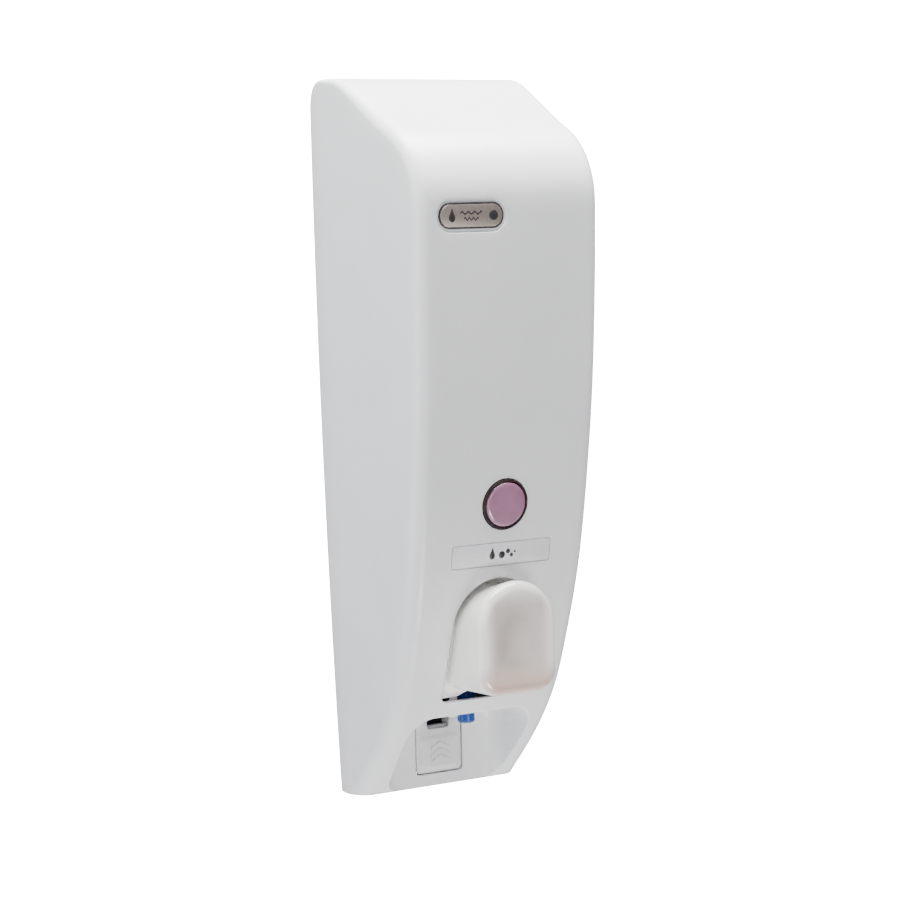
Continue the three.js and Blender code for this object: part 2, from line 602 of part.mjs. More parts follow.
function reservoir() {
  const at = [0, -PUMP.depth, 0];
  const neck = bar("z", NECK.outer, NECK.low, TANK.low + 1, at);
  const bore = bar("z", NECK.inner, NECK.low - 1, TANK.low + TANK.wall + 1, at);
  const { half, back, front } = LID;
  const mouth = prism("xy", rectangle(-half, half, -front, -back, 4), TANK.high - 6, TANK.high + 5);
  return cut(joined(tankForm(0), neck), tankForm(TANK.wall), bore, mouth);
}

function reservoirLid() {
  const { half, back, front, thick, rim } = LID;
  const low = TANK.high + GAP + LID.seal + GAP;
  const plate = prism("xy", rectangle(-half - rim, half + rim, -front - rim, -back + rim, 5), low,
      low + thick);
  const plug = prism("xy", rectangle(-half + PLAY, half - PLAY, -front + PLAY, -back - PLAY, 3.4),
      TANK.high - LID.plug, low + 1);
  const inset = PLAY + 1.8;
  const room = rectangle(-half + inset, half - inset, -front + inset, -back - inset, 2);
  const hollow = prism("xy", room, TANK.high - LID.plug - 1, low + 0.2);
  const tab = prism("xy", rectangle(-LID.tab, LID.tab, -front - rim - 5, -front, 3), low, low + thick);
  return joined(plate, plug, tab).subtract(hollow);
}

function lidSeal() {
  const { half, back, front } = LID;
  const [low, high] = [TANK.high + GAP, TANK.high + GAP + LID.seal];
  const outer = prism("xy", rectangle(-half - 2, half + 2, -front - 2, -back + 2, 5), low, high);
  const inner = prism("xy", rectangle(-half + GAP, half - GAP, -front + GAP, -back - GAP, 4), low - 1,
      high + 1);
  return outer.subtract(inner);
}

// ---------------------------------------------------------------- the pump
const atPump = [0, -PUMP.depth, 0];

const neckSeal = () => tube("z", NECK.inner, NECK.outer, FLANGE.high + GAP, NECK.low - GAP, atPump);

const collarNut = () => {
  const { outer, hole, lip, over } = NUT;
  const [bottom, seat, top] = [FLANGE.low - GAP - lip, FLANGE.low - GAP, FLANGE.high + over];
  const inner = FLANGE.radius + GAP;
  const profile = [[hole, bottom], [outer, bottom], [outer, top], [inner, top], [inner, seat],
      [hole, seat], [hole, bottom]];
  const grips = Array.from({ length: NUT.grips }, (_, k) => {
    const turn = (Math.PI * 2 * k) / NUT.grips;
    const at = [outer * Math.cos(turn), -PUMP.depth + outer * Math.sin(turn), 0];
    return bar("z", NUT.grip, FLANGE.low, top - 2, at, 8);
  });
  return cut(turned("z", profile, atPump, 36), ...grips);
};

function pumpBody() {
  const { housing, front, back, height, cylinder, riser, riserBore, shoulder, inletBore,
      inletSeat } = PUMP;
  const outside = joined(
    bar("z", riser, height, FLANGE.low, atPump),
    bar("z", shoulder, height + housing + 2.2, FLANGE.low + 1, atPump),
    bar("z", FLANGE.radius, FLANGE.low, FLANGE.high, atPump),
    bar("y", housing, -front, -back, [0, 0, height], 40),
    bar("z", SOCKET.radius, SOCKET.low, height, atPump),
  );
  return cut(
    outside,
    bar("z", inletBore, inletSeat, FLANGE.high + 1, atPump),
    bar("z", riserBore, height, inletSeat + 1, atPump),
    bar("y", cylinder, -front - 1, -front + cylinder, [0, 0, height]),
    bar("z", NOZZLE.radius + GAP, SOCKET.low - 1, SOCKET.low + SOCKET.deep, atPump),
    bar("z", SOCKET.passage, SOCKET.low + 8, height, atPump),
  );
}

// A disc on its seat with a stem that guides it.
const inletValve = () => {
  const [seat, disc] = [PUMP.inletSeat + GAP, PUMP.inletBore - PLAY];
  return turned("z", [[0, seat], [disc, seat], [disc, seat + 1.1], [2.2, seat + 1.7], [1.4, seat + 5.3],
      [0, seat + 5.3]], atPump, 28);
};

// A duckbill: a disc above the nozzle with a slit beak that hangs into its bore.
const BEAK = { hole: 0.6, tip: 1.2, root: 1.4, long: 3.6, disc: 1.2 };
const outletValve = () => {
  const { hole, tip, root, long, disc } = BEAK;
  const top = SOCKET.low + SOCKET.deep - GAP;
  const radius = NOZZLE.radius - 0.15;
  const profile = [
    [hole, top - long], [tip, top - long], [root, top - disc - 0.2], [radius, top - disc],
        [radius, top], [hole, top], [hole, top - long],
  ];
  return turned("z", profile, atPump, 24);
};

function nozzle() {
  const { radius, bore, low } = NOZZLE;
  const top = SOCKET.low + SOCKET.deep - GAP - BEAK.disc - GAP;
  const counterbore = BEAK.root + 0.9; // clears the beak
  const profile = [
    [bore, low], [radius - 1, low], [radius - 0.3, low + 0.3], [radius, low + 1.1], [radius, top],
        [counterbore, top],
    [counterbore, top - 4], [bore, top - 5], [bore, low],
  ];
  return turned("z", profile, atPump, 32);
}

function bellows() {
  const { front, bellowsFront, height } = PUMP;
  const { folds, root, crest, wall, flange, end } = BELLOWS;
  const start = front + 1.5;
  const pitch = (bellowsFront - 4 - start) / folds;
  const outside = [[flange, front + GAP], [flange, start]];
  const inside = [[root - 0.2, front + GAP]];
  for (let k = 0; k < folds; k++) {
    const d = start + pitch * k;
    outside.push([root, d + pitch * 0.12], [crest, d + pitch * 0.5], [root, d + pitch * 0.88]);
    inside.push([root - wall, d + pitch * 0.12], [crest - wall, d + pitch * 0.5],
        [root - wall, d + pitch * 0.88]);
  }
  outside.push([root, bellowsFront], [0, bellowsFront]);
  inside.push([root - wall, bellowsFront - end], [0, bellowsFront - end]);
  const profile = [...outside, ...inside.reverse()].map(([r, d]) => [r, -d]);
  profile.push(profile[0]);
  return turned("y", profile.reverse(), [0, 0, height], 28);
}

// The screw ring that clamps the bellows' flange on the housing.
const RING = { wall: 1.6, reach: 3, lip: 0.8 };
const bellowsRing = () => {
  const { housing, front, height } = PUMP;
  const [inner, outer, hole] = [housing + GAP, housing + RING.wall, BELLOWS.crest + 0.4];
  const [rear, seat] = [-front + RING.reach, -front - 1.8];
  const tip = seat - RING.lip;
  const profile = [[inner, rear], [outer, rear], [outer, tip], [hole, tip], [hole, seat], [inner, seat],
      [inner, rear]];
  return turned("y", profile.reverse(), [0, 0, height], 36);
};

// The return spring inside the bellows.
class Coil extends THREE.Curve {
  constructor(radius, length, turns) {
    super();
    Object.assign(this, { radius, length, turns });
  }
  getPoint(t, target = new THREE.Vector3()) {
    const turn = Math.PI * 2 * this.turns * t;
    return target.set(this.radius * Math.cos(turn), -this.length * t, this.radius * Math.sin(turn));
  }
}

function bellowsSpring() {
  const { radius, wire, turns } = SPRING;
  const start = PUMP.front - PUMP.cylinder + GAP + wire;
  const end = PUMP.bellowsFront - BELLOWS.end - GAP - wire;
  const section = new THREE.Shape(Array.from({ length: 6 }, (_, k) => {
    const turn = (Math.PI * 2 * k) / 6;
    return new THREE.Vector2(wire * Math.cos(turn), wire * Math.sin(turn));
  }));
  const path = new Coil(radius, end - start, turns);
  const g = new THREE.ExtrudeGeometry(section, { steps: 84, extrudePath: path, bevelEnabled: false });
  return solid(g.translate(0, -start, PUMP.height));
}

function pumpPlunger() {
  const { bellowsFront, cap, capFront, height } = PUMP;
  const inner = BELLOWS.root + GAP;
  const profile = [[0, -capFront], [cap - 2, -capFront], [cap - 0.5, -capFront + 0.6],
      [cap, -capFront + 1.8], [cap, -bellowsFront + 2.6],
    [inner, -bellowsFront + 2.6], [inner, -bellowsFront - GAP], [0, -bellowsFront - GAP]];
  return turned("y", profile, [0, 0, height], 32);
}

// ---------------------------------------------------------------- materials and assembly
const material = (color, roughness, metalness = 0, opacity = 1) =>
  new THREE.MeshStandardMaterial({ color, roughness, metalness, opacity, transparent: opacity < 1 });
const MATERIALS = {
  whitePlastic: material(0xf3f3f5, 0.32),
  creamPlastic: material(0xf1efe8, 0.22),
  innerPlastic: material(0xe6e7e9, 0.45),
  tankPlastic: material(0xeef2f4, 0.3, 0, 0.55),
  bluePlastic: material(0x0b4fae, 0.3),
  paleBlue: material(0x3f86cf, 0.35),
  rubber: material(0x3a3c40, 0.7),
  silicone: material(0xd8dde0, 0.55),
  pinkLens: material(0xd9b8c4, 0.08, 0, 0.6),
  badgeMetal: material(0xb8aba4, 0.3, 0.8),
  labelFilm: material(0xdcdde0, 0.4),
  steel: material(0xb9bcc0, 0.25, 1),
  foam: material(0x8d9196, 0.9),
};

const dispenser = new THREE.Group();
dispenser.name = "soap_dispenser";

function place(parent, name, manifold, look) {
  const mesh = new THREE.Mesh(geometryOf(manifold), MATERIALS[look]);
  mesh.name = name;
  parent.add(mesh);
}

// Heights above were measured from the bottom edge; this group carries them to mid height.
const wallSide = new THREE.Group();
wallSide.position.z = -HEIGHT / 2;
place(wallSide, "back_plate", backPlate(), "innerPlastic");
place(wallSide, "tape_pad_lower", tapePad(PAD.heights[0]), "foam");
place(wallSide, "tape_pad_upper", tapePad(PAD.heights[1]), "foam");
place(wallSide, "reservoir", reservoir(), "tankPlastic");
place(wallSide, "reservoir_lid", reservoirLid(), "innerPlastic");
place(wallSide, "lid_seal", lidSeal(), "silicone");
place(wallSide, "neck_seal", neckSeal(), "rubber");
place(wallSide, "collar_nut", collarNut(), "innerPlastic");
place(wallSide, "pump_body", pumpBody(), "bluePlastic");
place(wallSide, "inlet_valve", inletValve(), "silicone");
place(wallSide, "outlet_valve", outletValve(), "silicone");
place(wallSide, "nozzle", nozzle(), "bluePlastic");
place(wallSide, "pump_bellows", bellows(), "silicone");
place(wallSide, "bellows_ring", bellowsRing(), "innerPlastic");
place(wallSide, "bellows_spring", bellowsSpring(), "steel");
place(wallSide, "pump_plunger", pumpPlunger(), "paleBlue");
dispenser.add(wallSide);

const coverSide = new THREE.Group();
coverSide.position.z = -HEIGHT / 2;
place(coverSide, "front_cover", frontCover(), "whitePlastic");
place(coverSide, "badge_plate", badgePlate(), "badgeMetal");
place(coverSide, "label_plate", labelPlate(), "labelFilm");
place(coverSide, "window_seal", windowSeal(), "rubber");
place(coverSide, "window_lens", windowLens(), "pinkLens");
place(coverSide, "hinge_pin_left", hingePin(-1), "steel");
place(coverSide, "hinge_pin_right", hingePin(1), "steel");
place(coverSide, "lever_pin", leverPin(), "steel");
place(coverSide, "push_lever", pushLever(), "creamPlastic");
place(coverSide, "release_button", releaseButton(), "whitePlastic");
dispenser.add(coverSide);

export default dispenser;
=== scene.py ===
"""Looks of a wall-mounted soap dispenser: fine skins for the moulded pieces, materials, light and camera.

Shapes are written in millimetres as (x, depth, height): x to the right, depth out of the wall, height above
the bottom edge. at() carries a point into the row's frame.
"""

import math

import bmesh
import bpy
import numpy as np
from mathutils import Matrix, Vector
from mathutils.geometry import delaunay_2d_cdt


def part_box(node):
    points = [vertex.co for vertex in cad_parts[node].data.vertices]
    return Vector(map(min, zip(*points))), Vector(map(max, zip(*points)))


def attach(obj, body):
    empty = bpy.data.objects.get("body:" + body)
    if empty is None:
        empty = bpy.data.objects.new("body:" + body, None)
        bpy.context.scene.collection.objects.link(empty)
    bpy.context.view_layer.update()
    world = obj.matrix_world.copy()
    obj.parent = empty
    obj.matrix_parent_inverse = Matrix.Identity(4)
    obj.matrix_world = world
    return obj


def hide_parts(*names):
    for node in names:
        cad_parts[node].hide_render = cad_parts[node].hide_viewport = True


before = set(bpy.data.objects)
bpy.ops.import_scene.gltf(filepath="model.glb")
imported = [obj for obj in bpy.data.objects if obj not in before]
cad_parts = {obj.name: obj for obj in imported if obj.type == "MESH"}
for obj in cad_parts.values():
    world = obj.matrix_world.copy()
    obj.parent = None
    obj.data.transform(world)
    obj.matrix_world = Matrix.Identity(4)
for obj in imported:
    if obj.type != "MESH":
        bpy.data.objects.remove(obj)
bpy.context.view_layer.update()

# ---------------------------------------------------------------- driving dimensions, millimetres
MM = 0.001
COVER_LOW, COVER_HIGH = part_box("front_cover")
HEIGHT = (COVER_HIGH[2] - COVER_LOW[2]) / MM
BASE = COVER_LOW[2]
DEPTH = 79.5
HALF_WIDTH = 43.1
FLARE = (1.6, -6.4)  # change of the half width over the height, linear and squared
SIDE_DRAFT = 0.03
WALL = 2.4
TOP_SLOPE = 0.532
TOP_BREAK = 22.2
BROW_RADIUS = 32.0
EDGE_TOP, EDGE_LOW = 5.5, 6.9  # side edge radius above and below
HEEL = (1.1, 9.0)  # how far the side turns in towards the wall, and over what depth

HINGE_DEPTH, HINGE_HEIGHT = 9.5, HEIGHT - 9.5
LIP_HEIGHT = HINGE_HEIGHT - 1.5
SCOOP_DEPTH, SCOOP_WALL, SCOOP_BLEND = 15.0, 2.2, 7.0
FRONT = ((0, 15.0), (20, 34), (40, 47.6), (62, 56.2), (90, 64.5), (120, 70.1), (160, 75.4), (200, 78.2),
         (232, 79.4))

MOUTH = dict(half=18.2, low=40.6, crown=72.0, corner=3.5)
WINDOW_HEIGHT, WINDOW_HOLE = 119.2, 10.2
LABEL_HEIGHT, LABEL_HALF, LABEL_TALL, LABEL_SINK = 99.75, 22.4, 9.5, 0.8
BADGE_X, BADGE_HEIGHT, BADGE_HALF, BADGE_TALL, BADGE_SINK = -17.5, 229.6, 15.35, 12.4, 0.6
SLOT_HALF, SLOT_FRONT, NOTCH_LOW = 5.15, 42.15, 23.3
PORT = dict(half=11.1, low=4.9, high=26.6, corner=2.0)


def at(x, depth, height):
    """A point of the row's frame, in metres."""
    return Vector((x * MM, -depth * MM, BASE + height * MM))


# ---------------------------------------------------------------- outlines
def rounded(points, steps=6):
    """An outline of (a, b) or (a, b, radius) points with its corners rounded."""
    out = []
    for i, point in enumerate(points):
        here = Vector(point[:2])
        radius = point[2] if len(point) > 2 else 0
        if not radius:
            out.append(tuple(here))
            continue
        before = (Vector(points[i - 1][:2]) - here).normalized()
        after = (Vector(points[(i + 1) % len(points)][:2]) - here).normalized()
        half = before.angle(after) / 2
        centre = here + (before + after).normalized() * (radius / math.sin(half))
        start = here + before * (radius / math.tan(half)) - centre
        end = here + after * (radius / math.tan(half)) - centre
        turn = math.atan2(start.x * end.y - start.y * end.x, start.dot(end))
        for k in range(steps + 1):
            a = turn * k / steps
            spun = Vector((start.x * math.cos(a) - start.y * math.sin(a),
                           start.x * math.sin(a) + start.y * math.cos(a)))
            out.append(tuple(centre + spun))
    return out


def filled_in(outline, spacing, closed=True):
    """The outline with more points along its long stretches."""
    out = []
    count = len(outline)
    for i in range(count if closed else count - 1):
        a, b = Vector(outline[i]), Vector(outline[(i + 1) % count])
        pieces = max(1, round((b - a).length / spacing))
        out += [tuple(a.lerp(b, k / pieces)) for k in range(pieces)]
    if not closed:
        out.append(tuple(outline[-1]))
    return out


def box_outline(a0, a1, b0, b1, radius, steps=6):
    return rounded([(a0, b0, radius), (a1, b0, radius), (a1, b1, radius), (a0, b1, radius)], steps)


def arch_outline(half, low, crown, corner, grow=0.0, steps=28):
    """A round-topped opening: half circle above, small round corners below."""
    turns = [math.pi * k / steps for k in range(steps + 1)]
    arc = [((half + grow) * math.cos(t), crown + (half + grow) * math.sin(t)) for t in turns]
    radius = corner + grow
    bottom = low - grow
    foot = rounded([(-half - grow, crown), (-half - grow, bottom, radius),
                    (half + grow, bottom, radius), (half + grow, crown)], 8)
    return arc + foot[1:-1]


def outward(outline, closed=True):
    """Unit normals of an outline's points, pointing to its right-hand side."""
    points = [Vector(p) for p in outline]
    count = len(points)
    out = []
    for i, here in enumerate(points):
        a = points[i - 1] if closed or i else here
        b = points[(i + 1) % count] if closed or i + 1 < count else here
        along = (b - a).normalized()
        out.append(Vector((along.y, -along.x)))
    return out


def inside(point, outline):
    """True if a point lies within a closed outline."""
    x, y = point
    hit = False
    for (x0, y0), (x1, y1) in zip(outline, outline[1:] + outline[:1]):
        if (y0 > y) != (y1 > y) and x < (x1 - x0) * (y - y0) / (y1 - y0) + x0:
            hit = not hit
    return hit


# ---------------------------------------------------------------- the cover's outer form
def catmull_rom(points, per_span):
    """A smooth curve through points, as the cover's front is drawn."""
    out = []
    last = len(points) - 1
    for i in range(last):
        p0, p1, p2, p3 = (np.array(points[min(max(k, 0), last)], float) for k in (i - 1, i, i + 1, i + 2))
        for k in range(per_span):
            t = k / per_span
            v0, v1 = (p2 - p0) / 2, (p3 - p1) / 2
            out.append((2 * p1 - 2 * p2 + v0 + v1) * t**3 + (-3 * p1 + 3 * p2 - 2 * v0 - v1) * t**2
                       + v0 * t + p1)
    out.append(np.array(points[-1], float))
    return out


class SideProfile:
    """The cover's side view by arc length s: bottom edge, front, brow, sloping top, rear corner."""

    def __init__(self):
        front = [(p[1], p[0]) for p in catmull_rom(FRONT, 40)]
        brow = HEIGHT - (DEPTH - TOP_BREAK) * TOP_SLOPE
        top = [front[-1], (DEPTH, brow, BROW_RADIUS), (TOP_BREAK, HEIGHT, 30), (0, HEIGHT, HINGE_DEPTH),
               (0, HINGE_HEIGHT)]
        line = front[:-1] + filled_in(rounded(top, 30)[:-1], 1.0, closed=False)
        points = np.array(line)
        steps = np.hypot(*np.diff(points, axis=0).T)
        keep = np.concatenate([[True], steps > 1e-6])
        points = points[keep]
        self.s = np.concatenate([[0], np.cumsum(np.hypot(*np.diff(points, axis=0).T))])
        self.depth, self.height = points.T
        along = np.gradient(points, self.s, axis=0)
        along /= np.hypot(*along.T)[:, None]
        self.nd, self.nh = along[:, 1], -along[:, 0]
        self.end = self.s[-1]
        self.front_end = int(np.argmax(self.height > 230))
        self.lip = float(np.interp(LIP_HEIGHT, self.height[: int(np.argmax(self.height))],
                                   self.s[: int(np.argmax(self.height))]))

    def point(self, s, inset=0.0):
        """(depth, height) at s, moved inwards by inset; below s = 0 the curve runs on straight."""
        values = [np.interp(s, self.s, a) for a in (self.depth, self.height, self.nd, self.nh)]
        depth, height, nd, nh = values
        if s < 0:
            depth, height = depth - s * nh, height + s * nd
        return depth - inset * nd, height - inset * nh

    def at_height(self, height, inset=0.0):
        """The s on the front where the form, moved inwards by inset, has this height."""
        low, high = -20.0, float(self.s[self.front_end])
        for _ in range(40):
            mid = (low + high) / 2
            low, high = (mid, high) if self.point(mid, inset)[1] < height else (low, mid)
        return low

    def stations(self, longest=4.0, turn=math.radians(4)):
        """Values of s close enough together to draw the curve smoothly."""
        out, last = [0.0], 0
        angle = np.unwrap(np.arctan2(self.nh, self.nd))
        for i in range(1, len(self.s)):
            if self.s[i] - out[-1] >= longest or abs(angle[i] - angle[last]) >= turn:
                out.append(float(self.s[i]))
                last = i
        out[-1] = self.end
        return out


PROFILE = SideProfile()


def half_width(depth, height):
    down = 1 - height / HEIGHT
    return HALF_WIDTH + FLARE[0] * down + FLARE[1] * down * down - SIDE_DRAFT * max(depth, 0)


def edge_radius(s):
    """Radius of the side edge: large below, smaller above, running out over the top towards the wall."""
    depth, height = PROFILE.point(max(s, 0))
    t = min(max(height / 130, 0), 1)
    radius = EDGE_LOW + (EDGE_TOP - EDGE_LOW) * t * t * (3 - 2 * t)
    return radius * (min(1, 0.15 + depth / 60) if height > 0.7 * HEIGHT else 1)


def trimmed(s, inset, floor):
    """The station that stands for s once the moved-in form is cut off level at the floor height."""
    start = PROFILE.at_height(floor, inset)
    return s + start * max(0, 1 - max(s, 0) / 40) ** 2


def skin(x, s, inset=0.0, floor=0.0):
    """A point of the front surface, across at x and up at s, moved inwards."""
    depth, height = PROFILE.point(trimmed(s, inset, floor), inset)
    return at(x, depth, height)


EDGE_STEPS = 9
SIDE_STEPS = 10


def side_column(s, column, shell, floor):
    """(x, depth, height) on the side: the columns turn round the edge, then run back to the wall."""
    radius = max(edge_radius(s) - shell, 0.3)
    turn = math.pi / 2 * min(column / EDGE_STEPS, 1)
    inset = shell + radius * (1 - math.cos(turn))
    depth, height = PROFILE.point(trimmed(s, inset, floor), inset)
    out = radius * (1 - math.sin(turn))
    if column > EDGE_STEPS:
        share = (column - EDGE_STEPS) / SIDE_STEPS
        back = height
        if s > PROFILE.lip:
            back = LIP_HEIGHT + (HINGE_HEIGHT - LIP_HEIGHT) * (s - PROFILE.lip) / (PROFILE.end
                    - PROFILE.lip)
        share = 1 - (1 - share) ** 1.5
        depth, height = depth * (1 - share), height + (back - height) * share
    heel = HEEL[0] * max(0, 1 - depth / HEEL[1]) ** 2 if shell == 0 else 0
    return half_width(depth, height) - shell - out - heel, depth, height


# ---------------------------------------------------------------- mesh making
class Shell:
    """Collects points and faces of one piece, then welds them into an object."""

    def __init__(self):
        self.points, self.faces = [], []

    def add(self, points, faces):
        start = len(self.points)
        self.points += [Vector(p) for p in points]
        self.faces += [tuple(start + i for i in f) for f in faces]

    def rows(self, rows, closed=False):
        """A sheet through rows of equally many points."""
        count = len(rows[0])
        across = range(count if closed else count - 1)
        faces = []
        for r in range(len(rows) - 1):
            for i in across:
                j = (i + 1) % count
                faces.append((r * count + i, r * count + j, (r + 1) * count + j, (r + 1) * count + i))
        self.add([p for row in rows for p in row], faces)

    def face(self, points):
        self.add(points, [tuple(range(len(points)))])

    def capped(self, rows):
        """A tube through closed rows with a face over each end."""
        self.rows(rows, closed=True)
        self.face(rows[0])
        self.face(rows[-1])

    def made(self, name, smooth=35, weld=2e-6):
        mesh = bpy.data.meshes.new(name)
        bm = bmesh.new()
        verts = [bm.verts.new(p) for p in self.points]
        for f in self.faces:
            if len(set(f)) > 2:
                try:
                    bm.faces.new([verts[i] for i in dict.fromkeys(f)])
                except ValueError:
                    pass
        bmesh.ops.remove_doubles(bm, verts=bm.verts, dist=weld)
        bmesh.ops.dissolve_degenerate(bm, edges=bm.edges, dist=weld)
        loose = [v for v in bm.verts if not v.link_faces]
        bmesh.ops.delete(bm, geom=loose, context="VERTS")
        bmesh.ops.recalc_face_normals(bm, faces=bm.faces)
        for f in bm.faces:
            f.smooth = True
        bm.to_mesh(mesh)
        bm.free()
        mesh.set_sharp_from_angle(angle=math.radians(smooth))
        piece = bpy.data.objects.new(name, mesh)
        bpy.context.scene.collection.objects.link(piece)
        return piece


def rounding(start, corner, end, steps=4):
    """Points of a round edge that leaves start towards corner and arrives at end."""
    out = []
    for k in range(steps + 1):
        t = k / steps
        out.append(start * (1 - t) ** 2 + corner * (2 * t * (1 - t)) + end * t * t)
    return out


def triangulated(points, edges, keep):
    """Triangles over flat points, as point numbers; keep(centre) says which belong."""
    flat = [Vector(p) for p in points]
    verts, _, faces, origin, _, _ = delaunay_2d_cdt(flat, edges, [], 0, 1e-7)
    number = [o[0] if o else None for o in origin]
    out = []
    for f in faces:
        centre = sum((verts[i] for i in f), Vector((0, 0))) / len(f)
        if keep(centre) and None not in [number[i] for i in f]:
            out.append(tuple(number[i] for i in f))
    return out


def ring_edges(start, count, closed=True):
    return [(start + i, start + (i + 1) % count) for i in range(count if closed else count - 1)]


# ---------------------------------------------------------------- the scoop under the arch
def scoop_path():
    """(x, height, normal) along the scoop's outline, from its left foot over the arch to its right foot."""
    half, foot, top, corner = 28.3, 26.0, 34.0, 10.0
    rises = [0, 0.25, 0.6, 1.1, 1.8, 2.7, 3.8, 5.2, 7, 9.5, 12.5, 16, 20]
    side = [(foot + (half - foot) * (z + 2) / 22, z, 1.0, 0.0) for z in rises]
    bend = [math.pi / 2 * k / 9 for k in range(10)]
    arc = [(half - corner + corner * math.cos(a), top - corner + corner * math.sin(a), math.cos(a),
            math.sin(a)) for a in bend]
    flat = [(x, top, 0.0, 1.0) for x in (15, 12, 9, 7, SLOT_HALF, 3.4, 1.7)]
    right = side + arc + flat
    left = [(-x, z, -nx, nz) for x, z, nx, nz in right]
    return left + [(0.0, top, 0.0, 1.0)] + right[::-1]


SCOOP_PATH = scoop_path()
STRAIGHT_LEVELS, BLEND_LEVELS = 5, 8
SLOT_SHARE = (PROFILE.point(PROFILE.at_height(34.0))[0] - SLOT_FRONT) / (
    PROFILE.point(PROFILE.at_height(34.0))[0] - SCOOP_DEPTH - SCOOP_BLEND
)


def blend_inset(depth, lining):
    """How far the scoop's wall has turned inwards at a depth, on its face or on its lining's rear."""
    level = depth + lining
    rise = SCOOP_DEPTH + SCOOP_BLEND - level
    turned = SCOOP_BLEND - math.sqrt(max(SCOOP_BLEND**2 - max(rise, 0) ** 2, 0))
    return min(turned, SCOOP_BLEND) - lining


def scoop_point(t, depth, lining=0.0, lift=0.0):
    x, height, nx, nz = SCOOP_PATH[t]
    inset = blend_inset(depth, lining)
    return x - nx * inset, depth, height + lift - nz * inset


def lifted(t, lining):
    """The lining's foot stands on the cover's inner floor; this is how far a path point moves up for it."""
    return WALL * max(0, 1 - SCOOP_PATH[t][1] / 20) if lining else 0.0


def mouth_depth(t, lining):
    """Depth at which the scoop's wall meets the cover's front (or its inner face)."""
    shell = WALL if lining else 0.0
    bottom = SCOOP_DEPTH - lining
    depth = 30.0
    for _ in range(30):
        height = scoop_point(t, depth, lining, lifted(t, lining))[2]
        met = PROFILE.point(PROFILE.at_height(height, shell), shell)[0]
        depth = (depth + max(met, bottom)) / 2
    return max(depth, bottom)


def scoop_levels(t, lining):
    """Depths from the arch back to the plate: a straight stretch, then a round into it."""
    top, bottom = mouth_depth(t, lining), SCOOP_DEPTH - lining
    bend = min(bottom + SCOOP_BLEND, top)
    straight = [top - (top - bend) * SLOT_SHARE]
    straight += [straight[0] + (bend - straight[0]) * k / (STRAIGHT_LEVELS - 1)
                 for k in range(1, STRAIGHT_LEVELS)]
    round_part = []
    for k in range(1, BLEND_LEVELS + 1):
        rise = math.cos(math.acos(max(1 - (bend - bottom) / SCOOP_BLEND, 0)) * (1 - k / BLEND_LEVELS))
        round_part.append(bottom + SCOOP_BLEND * (1 - rise))
    return [top] + straight + round_part


